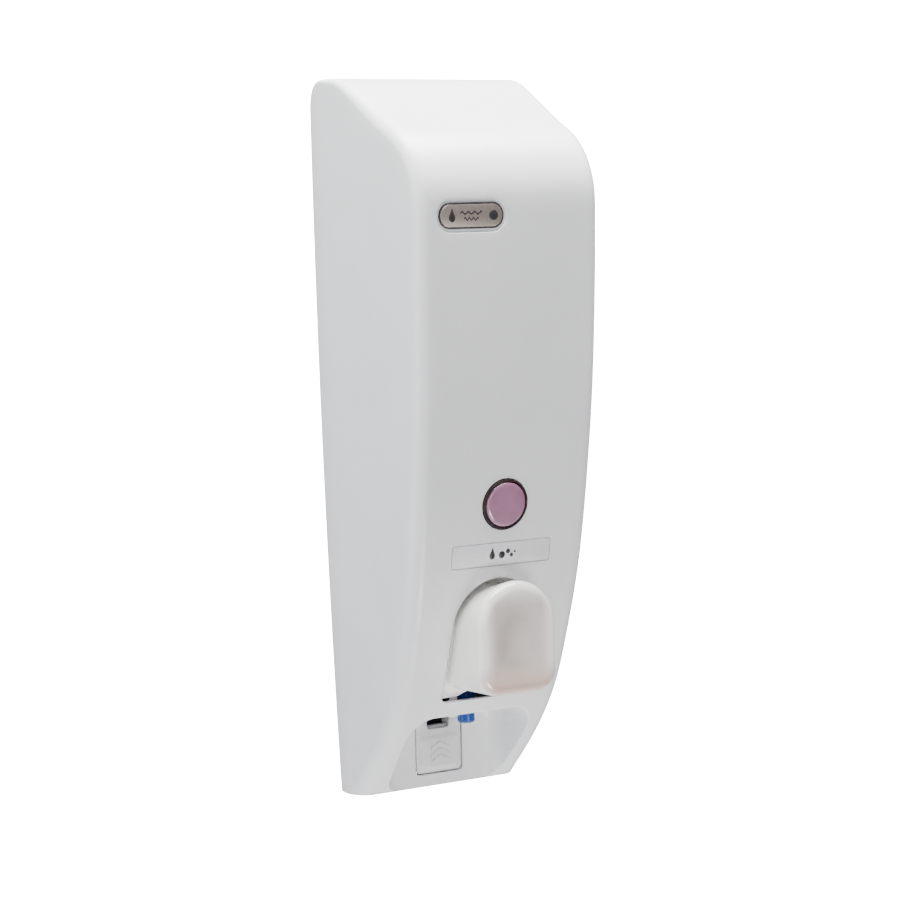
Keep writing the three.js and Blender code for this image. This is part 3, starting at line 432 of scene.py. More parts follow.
# ---------------------------------------------------------------- the cover's front
class FrontSheet:
    """The front as flat (x, s), triangulated round its openings for both its faces."""

    def __init__(self, rim):
        self.rim = rim
        mouth = filled_in(arch_outline(**MOUTH), 2.0)
        window = [(WINDOW_HOLE * math.cos(a), WINDOW_HOLE * math.sin(a))
                  for a in np.linspace(0, 2 * math.pi, 72, endpoint=False)]
        label = filled_in(box_outline(-LABEL_HALF, LABEL_HALF, -LABEL_TALL / 2, LABEL_TALL / 2, 1.2), 2.0)
        badge = filled_in(box_outline(-BADGE_HALF, BADGE_HALF, -BADGE_TALL / 2, BADGE_TALL / 2,
                                      BADGE_TALL / 2 - 0.01, 14), 2.0)
        rise = {h: PROFILE.at_height(h) for h in (WINDOW_HEIGHT, LABEL_HEIGHT, BADGE_HEIGHT)}
        self.holes = {
            "mouth": [(x, PROFILE.at_height(h)) for x, h in mouth],
            "window": [(x, rise[WINDOW_HEIGHT] + v) for x, v in window],
            "label": [(x, rise[LABEL_HEIGHT] + v) for x, v in label],
            "badge": [(BADGE_X + x, rise[BADGE_HEIGHT] + v) for x, v in badge],
        }
        self.inner_mouth = [(x, PROFILE.at_height(h, WALL)) for x, h in mouth]
        self.loops = {}
        self.stations = PROFILE.stations()
        self._triangulate()

    def grown(self, name):
        """A hole's loop on the surface, outside its rounded rim."""
        normals = outward(self.holes[name])
        rim = self.rim[name]
        return [(x + n.x * rim, s + n.y * rim) for (x, s), n in zip(self.holes[name], normals)]

    def arch(self, lining):
        """The arch's loop on the surface: beyond its round edge outside, at the lining inside."""
        out = []
        for t, (_, height, nx, nz) in enumerate(SCOOP_PATH):
            depth = mouth_depth(t, lining)
            px, _, pz = scoop_point(t, depth, lining, lifted(t, lining))
            edge = 0 if lining else self.rim["arch"] * min(1, height / 6)
            shell = WALL if lining else 0.0
            out.append((px + nx * edge, PROFILE.at_height(pz + nz * edge, shell) if height > 0 else 0.0))
        return out

    def _triangulate(self):
        flat = [half_width(*PROFILE.point(s)) - edge_radius(s) for s in self.stations]
        arch = self.arch(0.0)
        bottom_left = filled_in([(-flat[0], 0.0), arch[0]], 2.5, closed=False)[:-1]
        bottom_right = filled_in([arch[-1], (flat[0], 0.0)], 2.5, closed=False)[1:]
        right = [(w, s) for w, s in zip(flat, self.stations)][1:]
        columns = 11
        top = [(-k * flat[-1] / columns, self.stations[-1]) for k in range(-columns + 1, columns)]
        left = [(-w, s) for w, s in zip(flat, self.stations)][1:][::-1]
        border = bottom_left + arch + bottom_right + right + top + left
        after = len(bottom_left) + len(arch) + len(bottom_right)
        self.sides = [(after + k, 1, p[1]) for k, p in enumerate(right)] + [(0, -1, 0.0),
                (after - 1, 1, 0.0)]
        after += len(right) + len(top)
        self.sides += [(after + k, -1, p[1]) for k, p in enumerate(left)]
        self.points = list(border)
        self.arch_start = len(bottom_left)
        self.arch_count = len(arch)
        edges = ring_edges(0, len(border))
        loops = {}
        for name in self.holes:
            loop = self.grown(name)
            loops[name] = (len(self.points), len(loop))
            edges += ring_edges(len(self.points), len(loop))
            self.points += loop
        self.loops = loops
        fences = [self.grown(n) for n in self.holes] + [arch]
        near = np.array([p for f in fences for p in filled_in(f, 0.8)])
        for w, s in list(zip(flat, self.stations))[1:-1]:
            for k in range(-columns + 1, columns):
                p = (w * k / columns, s)
                if np.min(np.hypot(near[:, 0] - p[0], near[:, 1] - p[1])) < 1.3:
                    continue
                if inside(p, arch) or any(inside(p, f) for f in fences[:-1]):
                    continue
                self.points.append(p)
        holes = fences[:-1]
        self.faces = triangulated(self.points, edges, lambda c: inside(c, border)
                                  and not any(inside(c, h) for h in holes))

    def positions(self, inner):
        """The points in space, on the outer face or on the inner one, where the rims are straight."""
        shell, floor = (WALL, WALL) if inner else (0.0, 0.0)
        moved = list(self.points)
        if inner:
            for name, (start, count) in self.loops.items():
                moved[start : start + count] = self.inner_mouth if name == "mouth" else self.holes[name]
        out = [skin(x, s, shell, floor) for x, s in moved]
        for k, side, s in self.sides:
            x, depth, height = side_column(s, 0, shell, floor)
            out[k] = at(side * x, depth, height)
        if inner:
            for k, (x, s) in enumerate(self.arch(SCOOP_WALL)):
                depth, height = PROFILE.point(s if SCOOP_PATH[k][1] > 0
                                              else PROFILE.at_height(WALL, WALL), WALL)
                out[self.arch_start + k] = at(x, depth, height)
            out_mouth = [PROFILE.point(s, WALL) for _, s in self.inner_mouth]
            start, _ = self.loops["mouth"]
            for k, (depth, height) in enumerate(out_mouth):
                out[start + k] = at(self.inner_mouth[k][0], depth, height)
        return out


def through_rim(shell, sheet, name, outer, inner):
    """The edge of an opening that goes right through: round outside, then straight to the inner face."""
    start, count = sheet.loops[name]
    rows = []
    for k in range(count):
        x, s = sheet.holes[name][k]
        corner = skin(x, s)
        away = (inner[start + k] - corner).normalized()
        edge = corner + away * (sheet.rim[name] * MM)
        rows.append(rounding(outer[start + k], corner, edge) + [inner[start + k]])
    shell.rows(list(zip(*rows)), closed=True)


def recess(shell, sheet, name, outer, inner, sink):
    """A shallow recess: a round lip, a floor, and the flat inner face behind it."""
    start, count = sheet.loops[name]
    loop = sheet.holes[name]
    rim = sheet.rim[name]
    rows = []
    for k, (x, s) in enumerate(loop):
        corner, low = skin(x, s), skin(x, s, sink)
        edge = corner.lerp(low, min(rim / sink, 0.9))
        rows.append(rounding(outer[start + k], corner, edge) + [low])
    shell.rows(list(zip(*rows)), closed=True)
    spread = [(a, b) for a in np.arange(-BADGE_HALF * 1.5, BADGE_HALF * 1.5, 3.0)
              for b in np.arange(-6, 6.1, 3.0)]
    middle = (sum(p[0] for p in loop) / count, sum(p[1] for p in loop) / count)
    extra = [(middle[0] + a, middle[1] + b) for a, b in spread]
    fence = np.array(filled_in(loop, 0.8))
    extra = [p for p in extra if inside(p, loop)
             and np.min(np.hypot(fence[:, 0] - p[0], fence[:, 1] - p[1])) > 1.0]
    points = loop + extra
    faces = triangulated(points, ring_edges(0, count), lambda c: inside(c, loop))
    shell.add([skin(x, s, sink) for x, s in points], faces)
    shell.add([inner[start + k] for k in range(count)] + [skin(x, s, WALL, WALL) for x, s in extra], faces)


def plate_sheet(lining):
    """The recess plate round the button's port and the nozzle's slot, on its face or its rear."""
    depth = SCOOP_DEPTH - lining
    feet = [scoop_point(t, depth, lining, lifted(t, lining)) for t in range(len(SCOOP_PATH))]
    outline = [(x, z) for x, _, z in feet]
    slot = [t for t, p in enumerate(SCOOP_PATH) if p[1] == 34.0 and abs(p[0]) == SLOT_HALF]
    half, low, high, corner = PORT["half"], PORT["low"], PORT["high"], PORT["corner"]
    port = rounded([(-SLOT_HALF, high), (-half, high, 1.0), (-half, low, corner), (half, low, corner),
                    (half, high, 1.0), (SLOT_HALF, high)], 6)
    port = filled_in(port, 2.0, closed=False)
    foot = filled_in([outline[-1], outline[0]], 2.5, closed=False)[1:-1]
    border = outline[: slot[0] + 1] + port + outline[slot[1] :] + foot
    return border, port, depth


def scoop(shell):
    """The scoop's wall, its round into the plate, the plate, and the same faces behind them."""
    rim = RIMS["arch"]
    slot = [t for t, p in enumerate(SCOOP_PATH) if p[1] == 34.0 and abs(p[0]) == SLOT_HALF]
    grids = []
    for lining in (0.0, SCOOP_WALL):
        grid = []
        for t in range(len(SCOOP_PATH)):
            levels = scoop_levels(t, lining)
            points = [at(*scoop_point(t, d, lining, lifted(t, lining))) for d in levels]
            if not lining:
                nx, nz, height = SCOOP_PATH[t][2], SCOOP_PATH[t][3], SCOOP_PATH[t][1]
                edge = rim * min(1, height / 6)
                px, _, pz = scoop_point(t, levels[0])
                start = skin(px + nx * edge, PROFILE.at_height(pz + nz * edge)) if height > 0 else points[0]
                back = max(levels[0] - edge, SCOOP_DEPTH)
                end = at(*scoop_point(t, back)) if levels[0] - back < levels[0] - levels[1] else points[1]
                points = rounding(start, points[0], end) + points[1:]
            grid.append(points)
        grids.append(grid)
    for grid, slot_level in zip(grids, (5, 1)):
        rows = list(zip(*grid))
        shell.rows(rows[: slot_level + 1])
        tail = rows[slot_level:]
        shell.rows([row[: slot[0] + 1] for row in tail])
        shell.rows([row[slot[1] :] for row in tail])
    outer, inner = grids
    for t in slot:
        shell.rows([outer[t][5:], inner[t][1:]])
    between = range(slot[0], slot[1] + 1)
    shell.rows([[outer[t][5] for t in between], [inner[t][1] for t in between]])
    faces = {}
    for lining in (0.0, SCOOP_WALL):
        border, port, depth = plate_sheet(lining)
        spread = [(x, z) for x in np.arange(-24, 25, 3.0) for z in np.arange(1.5, 28, 3.0)]
        fence = np.array(filled_in(border, 0.8))
        extra = [p for p in spread if inside(p, border)
                 and np.min(np.hypot(fence[:, 0] - p[0], fence[:, 1] - p[1])) > 1.2]
        points = border + extra
        tris = triangulated(points, ring_edges(0, len(border)), lambda c, b=border: inside(c, b))
        shell.add([at(x, depth, z) for x, z in points], tris)
        faces[lining] = [at(x, depth, z) for x, z in port]
    left_top = [at(-SLOT_HALF, SCOOP_DEPTH, plate_top(0.0)),
                at(-SLOT_HALF, SCOOP_DEPTH - SCOOP_WALL, plate_top(SCOOP_WALL))]
    right_top = [at(SLOT_HALF, SCOOP_DEPTH, plate_top(0.0)),
                 at(SLOT_HALF, SCOOP_DEPTH - SCOOP_WALL, plate_top(SCOOP_WALL))]
    face_edge = [left_top[0]] + faces[0.0] + [right_top[0]]
    rear_edge = [left_top[1]] + faces[SCOOP_WALL] + [right_top[1]]
    shell.rows([face_edge, rear_edge])
    return outer, inner


def plate_top(lining):
    return 34.0 - SCOOP_BLEND + lining


RIMS = dict(mouth=0.7, window=0.35, label=0.4, badge=0.45, arch=1.0)


def front_cover():
    """The whole moulded cover as one closed shell."""
    shell = Shell()
    sheet = FrontSheet(RIMS)
    outer, inner = sheet.positions(False), sheet.positions(True)
    shell.add(outer, sheet.faces)
    shell.add(inner, sheet.faces)
    through_rim(shell, sheet, "mouth", outer, inner)
    through_rim(shell, sheet, "window", outer, inner)
    recess(shell, sheet, "label", outer, inner, LABEL_SINK)
    recess(shell, sheet, "badge", outer, inner, BADGE_SINK)
    columns = range(EDGE_STEPS + SIDE_STEPS + 1)
    bottoms = {}
    for side in (-1, 1):
        grids = []
        for wall, floor in ((0.0, 0.0), (WALL, WALL)):
            grid = []
            for s in sheet.stations:
                row = [side_column(s, c, wall, floor) for c in columns]
                grid.append([at(side * x, depth, height) for x, depth, height in row])
            shell.rows(grid)
            grids.append(grid)
            bottoms[side, wall] = grid[0]
        shell.rows([[row[-1] for row in grids[0]], [row[-1] for row in grids[1]]])
        shell.rows([grids[0][-1], grids[1][-1]])
    top = [k for k, (x, s) in enumerate(sheet.points) if s == PROFILE.end]
    top.sort(key=lambda k: sheet.points[k][0])
    shell.rows([[outer[k] for k in top], [inner[k] for k in top]])
    scoop_grids = scoop(shell)
    for grid, wall, places in zip(scoop_grids, (0.0, WALL), (outer, inner)):
        lining = SCOOP_WALL if wall else 0.0
        start, count = sheet.arch_start, sheet.arch_count
        left = [places[k] for k in range(start)]
        right = [places[k] for k in range(start + count, len(sheet.points)) if sheet.points[k][1] == 0.0]
        ends = [scoop_point(t, SCOOP_DEPTH - lining, lining, lifted(t, lining)) for t in (0, -1)]
        _, _, depth = plate_sheet(lining)
        foot = filled_in([(ends[0][0], ends[0][2]), (ends[1][0], ends[1][2])], 2.5, closed=False)
        line = [at(x, depth, z) for x, z in foot]
        ring = bottoms[-1, wall][::-1][:-1] + left + [places[start]] + list(grid[0])
        ring += line + list(grid[-1])[::-1] + [places[start + count - 1]]
        ring += right + bottoms[1, wall][1:]
        shell.face(list(dict.fromkeys(tuple(round(c, 9) for c in p) for p in ring)))
    back = [bottoms[-1, 0.0][-1], bottoms[1, 0.0][-1], bottoms[1, WALL][-1], bottoms[-1, WALL][-1]]
    shell.face(back)
    return shell.made("cover_skin", smooth=50)



# ---------------------------------------------------------------- finishes
def node_group(name, inputs, outputs):
    """An empty shader group with the given sockets."""
    group = bpy.data.node_groups.new(name, "ShaderNodeTree")
    for title, kind, value in inputs:
        socket = group.interface.new_socket(title, in_out="INPUT", socket_type=kind)
        socket.default_value = value
    for title, kind in outputs:
        group.interface.new_socket(title, in_out="OUTPUT", socket_type=kind)
    return group, group.nodes.new("NodeGroupInput"), group.nodes.new("NodeGroupOutput")


def moulded_group():
    """Moulded plastic: faint clouding of the colour, uneven gloss and the tool's fine grain."""
    inputs = [
        ("Colour", "NodeSocketColor", (0.8, 0.8, 0.8, 1)),
        ("Cloud", "NodeSocketColor", (0.75, 0.75, 0.75, 1)),
        ("Cloud size", "NodeSocketFloat", 40.0),
        ("Grain size", "NodeSocketFloat", 1400.0),
        ("Grain height", "NodeSocketFloat", 0.1),
        ("Roughness low", "NodeSocketFloat", 0.25),
        ("Roughness high", "NodeSocketFloat", 0.4),
    ]
    group, source, result = node_group("moulded_finish", inputs, [
        ("Colour", "NodeSocketColor"), ("Roughness", "NodeSocketFloat"), ("Normal", "NodeSocketVector")])
    nodes, links = group.nodes, group.links
    place = nodes.new("ShaderNodeTexCoord")
    cloud, grain, speck = (nodes.new("ShaderNodeTexNoise") for _ in range(3))
    cloud.inputs["Detail"].default_value = 3
    grain.inputs["Detail"].default_value = 2
    speck.inputs["Scale"].default_value = 2600
    for noise in (cloud, grain, speck):
        links.new(place.outputs["Object"], noise.inputs["Vector"])
    links.new(source.outputs["Cloud size"], cloud.inputs["Scale"])
    links.new(source.outputs["Grain size"], grain.inputs["Scale"])
    spread = nodes.new("ShaderNodeMapRange")
    spread.inputs["From Min"].default_value = 0.35
    spread.inputs["From Max"].default_value = 0.65
    links.new(cloud.outputs["Fac"], spread.inputs["Value"])
    tint = nodes.new("ShaderNodeMix")
    tint.data_type = "RGBA"
    links.new(spread.outputs["Result"], tint.inputs["Factor"])
    links.new(source.outputs["Colour"], tint.inputs["A"])
    links.new(source.outputs["Cloud"], tint.inputs["B"])
    links.new(tint.outputs["Result"], result.inputs["Colour"])
    gloss = nodes.new("ShaderNodeMapRange")
    gloss.inputs["From Min"].default_value = 0.3
    gloss.inputs["From Max"].default_value = 0.7
    links.new(grain.outputs["Fac"], gloss.inputs["Value"])
    links.new(source.outputs["Roughness low"], gloss.inputs["To Min"])
    links.new(source.outputs["Roughness high"], gloss.inputs["To Max"])
    links.new(gloss.outputs["Result"], result.inputs["Roughness"])
    both = nodes.new("ShaderNodeMath")
    both.operation = "MULTIPLY_ADD"
    both.inputs[1].default_value = 0.4
    links.new(speck.outputs["Fac"], both.inputs[0])
    links.new(grain.outputs["Fac"], both.inputs[2])
    bump = nodes.new("ShaderNodeBump")
    bump.inputs["Distance"].default_value = 0.0001
    links.new(source.outputs["Grain height"], bump.inputs["Strength"])
    links.new(both.outputs["Value"], bump.inputs["Height"])
    links.new(bump.outputs["Normal"], result.inputs["Normal"])
    return group


def brushed_group():
    """Drawn or brushed metal: fine lines along one direction."""
    inputs = [
        ("Colour", "NodeSocketColor", (0.7, 0.7, 0.7, 1)),
        ("Dark", "NodeSocketColor", (0.5, 0.5, 0.5, 1)),
        ("Stretch", "NodeSocketVector", (1.0, 1.0, 1.0)),
        ("Roughness low", "NodeSocketFloat", 0.2),
        ("Roughness high", "NodeSocketFloat", 0.4),
    ]
    group, source, result = node_group("brushed_finish", inputs, [
        ("Colour", "NodeSocketColor"), ("Roughness", "NodeSocketFloat"), ("Normal", "NodeSocketVector")])
    nodes, links = group.nodes, group.links
    place, stretch, lines = (nodes.new("ShaderNode" + n) for n in ("TexCoord", "VectorMath", "TexNoise"))
    stretch.operation = "MULTIPLY"
    lines.inputs["Scale"].default_value = 100
    lines.inputs["Detail"].default_value = 4
    links.new(place.outputs["Object"], stretch.inputs[0])
    links.new(source.outputs["Stretch"], stretch.inputs[1])
    links.new(stretch.outputs["Vector"], lines.inputs["Vector"])
    tint = nodes.new("ShaderNodeMix")
    tint.data_type = "RGBA"
    links.new(lines.outputs["Fac"], tint.inputs["Factor"])
    links.new(source.outputs["Dark"], tint.inputs["A"])
    links.new(source.outputs["Colour"], tint.inputs["B"])
    links.new(tint.outputs["Result"], result.inputs["Colour"])
    gloss = nodes.new("ShaderNodeMapRange")
    links.new(lines.outputs["Fac"], gloss.inputs["Value"])
    links.new(source.outputs["Roughness low"], gloss.inputs["To Min"])
    links.new(source.outputs["Roughness high"], gloss.inputs["To Max"])
    links.new(gloss.outputs["Result"], result.inputs["Roughness"])
    bump = nodes.new("ShaderNodeBump")
    bump.inputs["Strength"].default_value = 0.15
    bump.inputs["Distance"].default_value = 0.0001
    links.new(lines.outputs["Fac"], bump.inputs["Height"])
    links.new(bump.outputs["Normal"], result.inputs["Normal"])
    return group


MOULDED, BRUSHED = moulded_group(), brushed_group()


def finish(name, group, plain=None, **values):
    """A material on the shared group; plain holds the shader's own uniform values."""
    material = bpy.data.materials.new(name)
    material.use_nodes = True
    nodes, links = material.node_tree.nodes, material.node_tree.links
    shader = nodes["Principled BSDF"]
    detail = nodes.new("ShaderNodeGroup")
    detail.node_tree = group
    for title, value in values.items():
        detail.inputs[title.replace("_", " ")].default_value = value
    links.new(detail.outputs["Colour"], shader.inputs["Base Color"])
    links.new(detail.outputs["Roughness"], shader.inputs["Roughness"])
    links.new(detail.outputs["Normal"], shader.inputs["Normal"])
    for title, value in (plain or {}).items():
        shader.inputs[title].default_value = value
    material.diffuse_color = detail.inputs["Colour"].default_value
    return material


def plastic(name, colour, cloud=0.94, low=0.25, high=0.4, grain=0.1, plain=None, **more):
    shade = tuple(c * cloud for c in colour)
    return finish(name, MOULDED, plain, Colour=(*colour, 1), Cloud=(*shade, 1), Roughness_low=low,
                  Roughness_high=high, Grain_height=grain, **more)


def metal(name, colour, stretch, low, high):
    dark = tuple(c * 0.72 for c in colour)
    return finish(name, BRUSHED, {"Metallic": 1.0}, Colour=(*colour, 1), Dark=(*dark, 1), Stretch=stretch,
                  Roughness_low=low, Roughness_high=high)


COVER_WHITE = plastic("cover_satin_white", (0.80, 0.805, 0.82), 0.965, 0.3, 0.42, 0.12,
                      {"Coat Weight": 0.15,
                      "Coat Roughness": 0.2})
BUTTON_WHITE = plastic("button_white", (0.70, 0.705, 0.71), 0.96, 0.32, 0.45, 0.12)
LEVER_CREAM = plastic("lever_cream", (0.92, 0.90, 0.865), 0.98, 0.1, 0.17, 0.03, {"Coat Weight": 0.6,
                      "Coat Roughness": 0.05})
# Painted shade: the inner pieces are made near black so the notch and gaps behind the cover read as dark
# shade.
INNER_PAINTED_SHADE = plastic("inner_painted_shade_grey", (0.045, 0.046, 0.05), 0.8, 0.42, 0.6, 0.2)
TANK_CLEAR = plastic("tank_translucent", (0.80, 0.84, 0.86), 0.95, 0.28, 0.36, 0.02,
                     {"Transmission Weight": 0.35})
PUMP_BLUE = plastic("pump_blue", (0.006, 0.055, 0.30), 0.85, 0.2, 0.32, 0.08)
SILICONE = plastic("silicone_milky", (0.66, 0.68, 0.69), 0.93, 0.45, 0.6, 0.15,
                   {"Transmission Weight": 0.2})
RUBBER_DARK = plastic("rubber_dark", (0.022, 0.006, 0.009), 0.6, 0.35, 0.55, 0.3)
LENS_PINK = plastic("lens_pink", (0.33, 0.15, 0.24), 0.8, 0.06, 0.14, 0.05,
                    {"Coat Weight": 0.8, "Coat Roughness": 0.04},
                    Cloud_size=90.0)
BADGE_METAL = metal("badge_champagne", (0.78, 0.68, 0.61), (60.0, 60.0, 4.0), 0.3, 0.5)
BEZEL_DARK = plastic("badge_bezel", (0.035, 0.033, 0.034), 0.7, 0.25, 0.4, 0.1)
LABEL_WHITE = plastic("label_film", (0.74, 0.745, 0.77), 0.97, 0.3, 0.4, 0.1, Cloud_size=20.0)
PRINT_BLACK = plastic("print_black", (0.012, 0.012, 0.016), 0.7, 0.35, 0.5, 0.1)
PIN_STEEL = metal("pin_steel", (0.62, 0.62, 0.64), (2.0, 40.0, 40.0), 0.16, 0.32)
FOAM_GREY = plastic("tape_foam", (0.10, 0.105, 0.11), 0.7, 0.8, 0.95, 1.0, Grain_size=900.0)


def tinted(material, attribute, tone):
    """Mixes another tone into a material where a mask painted on the mesh says so."""
    nodes, links = material.node_tree.nodes, material.node_tree.links
    mask = nodes.new("ShaderNodeAttribute")
    mask.attribute_name = attribute
    mix = nodes.new("ShaderNodeMix")
    mix.data_type = "RGBA"
    mix.inputs["B"].default_value = (*tone, 1)
    colour = nodes["Principled BSDF"].inputs["Base Color"]
    links.new(mask.outputs["Fac"], mix.inputs["Factor"])
    links.new(colour.links[0].from_socket, mix.inputs["A"])
    links.new(mix.outputs["Result"], colour)


# Painted reflection and shade on the lever's face: a darker warm tone across the face, and a pinkish warm
# reflection on its lower part.
tinted(LEVER_CREAM, "painted_shade_and_reflection", (0.40, 0.33, 0.29))
tinted(LEVER_CREAM, "painted_warm_reflection", (0.60, 0.40, 0.33))


def dress(piece, material, body, slot, *stands_for):
    """Gives a piece its finish and its body, and hides the model parts it stands for; slot is not used."""
    piece.data.materials.clear()
    piece.data.materials.append(material)
    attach(piece, body)
    if stands_for:
        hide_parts(*stands_for)
    return piece


# ---------------------------------------------------------------- the push lever
LEVER = dict(half=17.0, face=78.0, low=46.5, crown=70.5, wall=2.2, rise=2.2, spread=0.5)
LEVER_ROUND = 3.4  # radius between the lever's sides and its face
LEVER_DISH = 1.5  # depth of the hollow for the fingertips
COLLAR = dict(side=0.75, foot=2.9, inset=1.2)  # the step round the lever just inside the cover's opening
FLANGE = dict(half=19.5, low=41.9, crown=71.0, front=2.9, back=5.0)
SOCKET_NOTCH = (7.0, 51.6)  # half width, and how near the wall the lever's foot may come there
GAP_ABOVE = dict(start=70, over=9, depth=3.5)  # the flange's crown stands back from the opening
PAINTED_TINT_FROM, PAINTED_TINT_OVER = 2.6, 1.6  # how far behind the face the painted shade and reflection tint begins, and its fade


def lever_ring(half, low, crown, corner):
    """A round-topped outline whose points keep their order and number whatever its size."""
    points = [(half * math.cos(a), crown + half * math.sin(a)) for a in np.linspace(0, math.pi, 37)]
    points += [(-half, crown + (low + corner - crown) * k / 9) for k in range(1, 9)]
    bend = np.linspace(0, math.pi / 2, 9)
    points += [(-half + corner - corner * math.cos(a), low + corner - corner * math.sin(a)) for a in bend]
    points += [(-half + corner + 2 * (half - corner) * k / 14, low) for k in range(1, 14)]
    points += [(half - corner + corner * math.sin(a), low + corner - corner * math.cos(a)) for a in bend]
    points += [(half, low + corner + (crown - low - corner) * k / 9) for k in range(1, 9)]
    return points


def notched(x, height, depth):
    """Keeps the lever's foot clear of the pump's socket when the lever is pushed."""
    half, nearest = SOCKET_NOTCH
    if height > 53:
        return depth
    share = min(max((half + 2 - abs(x)) / 2, 0), 1)
    return depth + max(nearest - depth, 0) * share


def lever_form(shrink, front):
    """Rings of the domed lever from the middle of its face out to its sides: [(points, depths)]."""
    radius = max(LEVER_ROUND - shrink, 0.8)
    rings = []

    edge = LEVER["half"] + LEVER["spread"] - shrink
    corner = 8.5 - shrink
    low = LEVER["low"] + shrink
    crown = LEVER["crown"] + LEVER["rise"]
    face = lever_ring(edge - radius, low + radius, crown, corner - radius)
    centre = (0.0, 66.0)
    for f in (0.03, 0.12, 0.24, 0.36, 0.48, 0.6, 0.7, 0.79, 0.87, 0.94, 1.0):
        ring = [(centre[0] + (x - centre[0]) * f, centre[1] + (z - centre[1]) * f) for x, z in face]
        sink = LEVER_DISH * (1 - f * f) ** 1.5
        rings.append((ring, [front - sink] * len(ring)))
    for k in range(1, 9):
        a = math.pi / 2 * k / 8
        inset = radius * (1 - math.sin(a))
        depth = front - radius * (1 - math.cos(a))
        ring = lever_ring(edge - inset, low + inset, crown, corner - inset)
        rings.append((ring, [depth] * len(ring)))
    side = front - radius
    for share in (0.12, 0.3, 0.5, 0.7, 0.85, 1.0):
        ring, depths = [], []
        root = 4.0 - shrink * 0.8
        base = lever_ring(LEVER["half"] - 0.35 - shrink, low, LEVER["crown"], root)
        tip = lever_ring(edge, low, crown, corner)
        for (x0, z0), (x1, z1) in zip(tip, base):
            x, z = x0 + (x1 - x0) * share, z0 + (z1 - z0) * share
            inset = COLLAR["inset"] if shrink == 0 else FLANGE["back"]
            end = notched(x, z, PROFILE.point(PROFILE.at_height(z, inset), inset)[0])
            ring.append((x, z))
            depths.append(side + (end - side) * share)
        rings.append((ring, depths))
    return rings


def push_lever():
    shell = Shell()
    outer = lever_form(0.0, LEVER["face"])
    inner = lever_form(LEVER["wall"], LEVER["face"] - LEVER["wall"] - LEVER_DISH * 0.4)
    last = outer[-1][0]

    def on_inset(ring, inset):
        """Lays a ring behind the cover's form; its crown stands back, which leaves a shadow gap above."""
        depths = []
        for x, z in ring:
            share = min(max((z - GAP_ABOVE["start"]) / GAP_ABOVE["over"], 0), 1)
            deeper = inset + GAP_ABOVE["depth"] * share
            depths.append(notched(x, z, PROFILE.point(PROFILE.at_height(z, deeper), deeper)[0]))
        return ring, depths

    side, foot = COLLAR["side"], COLLAR["foot"]
    low = min(z for _, z in last)
    collar = lever_ring(LEVER["half"] + side - 0.3, low - foot, LEVER["crown"], 4.2)
    flange = lever_ring(FLANGE["half"], FLANGE["low"], FLANGE["crown"], 3.0)

    def cleared(ring, foot):
        """Lifts a ring's foot over the pump's socket, which the pushed lever would meet."""
        out = []
        for x, z in ring:
            share = min(max((abs(x) - SOCKET_NOTCH[0] - 0.8) / 1.4, 0), 1)
            out.append((x, foot + (z - foot) * share if z < foot else z))
        return out

    collar, flange = cleared(collar, LEVER["low"] - 0.8), cleared(flange, LEVER["low"] - 1.2)
    softened = [tuple(np.array(a) * 0.2 + np.array(b) * 0.8) for a, b in zip(last, collar)]
    rings = outer + [on_inset(softened, COLLAR["inset"]), on_inset(collar, COLLAR["inset"] + 0.3)]
    rings += [on_inset(collar, FLANGE["front"]), on_inset(flange, FLANGE["front"]),
              on_inset(flange, FLANGE["back"])]
    rings += inner[::-1]
    shell.capped([[at(x, d, z) for (x, z), d in zip(ring, depths)] for ring, depths in rings])
    piece = shell.made("lever_dome", smooth=60)
    # Masks for the painted tint: painted shade and warm reflection across the face, deepest over the dish,
    # and a painted warm reflection low on the face.
    piece.data.attributes.new("painted_shade_and_reflection", "FLOAT", "POINT")
    piece.data.attributes.new("painted_warm_reflection", "FLOAT", "POINT")
    layers = (piece.data.attributes[name].data for name in ("painted_shade_and_reflection", "painted_warm_reflection"))
    for vertex, value, painted_warm_reflection in zip(piece.data.vertices, *layers):
        depth = -vertex.co.y / MM
        x, z = vertex.co.x / MM, (vertex.co.z - BASE) / MM
        near_face = min(max((depth - (LEVER["face"] - PAINTED_TINT_FROM)) / PAINTED_TINT_OVER, 0), 1)
        edge = min(max((14.5 - abs(x)) / 4, 0), 1) * min(max((87 - z) / 6, 0), 1)
        # painted shade deepest over the middle of the dish
        hollow = math.exp(-((x + 3) / 8) ** 2 - ((z - 66) / 13) ** 2)
        value.value = near_face * edge * (0.5 + 0.45 * hollow)
        painted_warm_reflection.value = near_face * min(max((59 - z) / 9, 0), 1) * 0.75
    return piece


# ---------------------------------------------------------------- pieces laid on the front
def front_frame(x, height):
    """A function that lays (across, up the slope, outwards) on the cover's front at a place."""
    s = PROFILE.at_height(height)
    depth, z = PROFILE.point(s)
    ahead, behind = PROFILE.point(s + 0.5), PROFILE.point(s - 0.5)
    rise = Vector((0, -(ahead[0] - behind[0]), ahead[1] - behind[1])).normalized()
    out = Vector((0, -rise.z, rise.y))
    origin = at(x, depth, z)

    def lay(a, b, c):
        return origin + Vector((a * MM, 0, 0)) + rise * (b * MM) + out * (c * MM)

    return lay


def turned(name, lay, profile, sides=64, smooth=40):
    """A piece turned about the outward axis of a frame, from (radius, outwards) points."""
    shell = Shell()
    rows = []
    for radius, c in profile:
        turns = (2 * math.pi * k / sides for k in range(sides))
        rows.append([lay(radius * math.cos(a), radius * math.sin(a), c) for a in turns])
    shell.rows(rows, closed=True)
    if profile[0] != profile[-1]:
        shell.face(rows[0])
        shell.face(rows[-1])
    return shell.made(name, smooth)


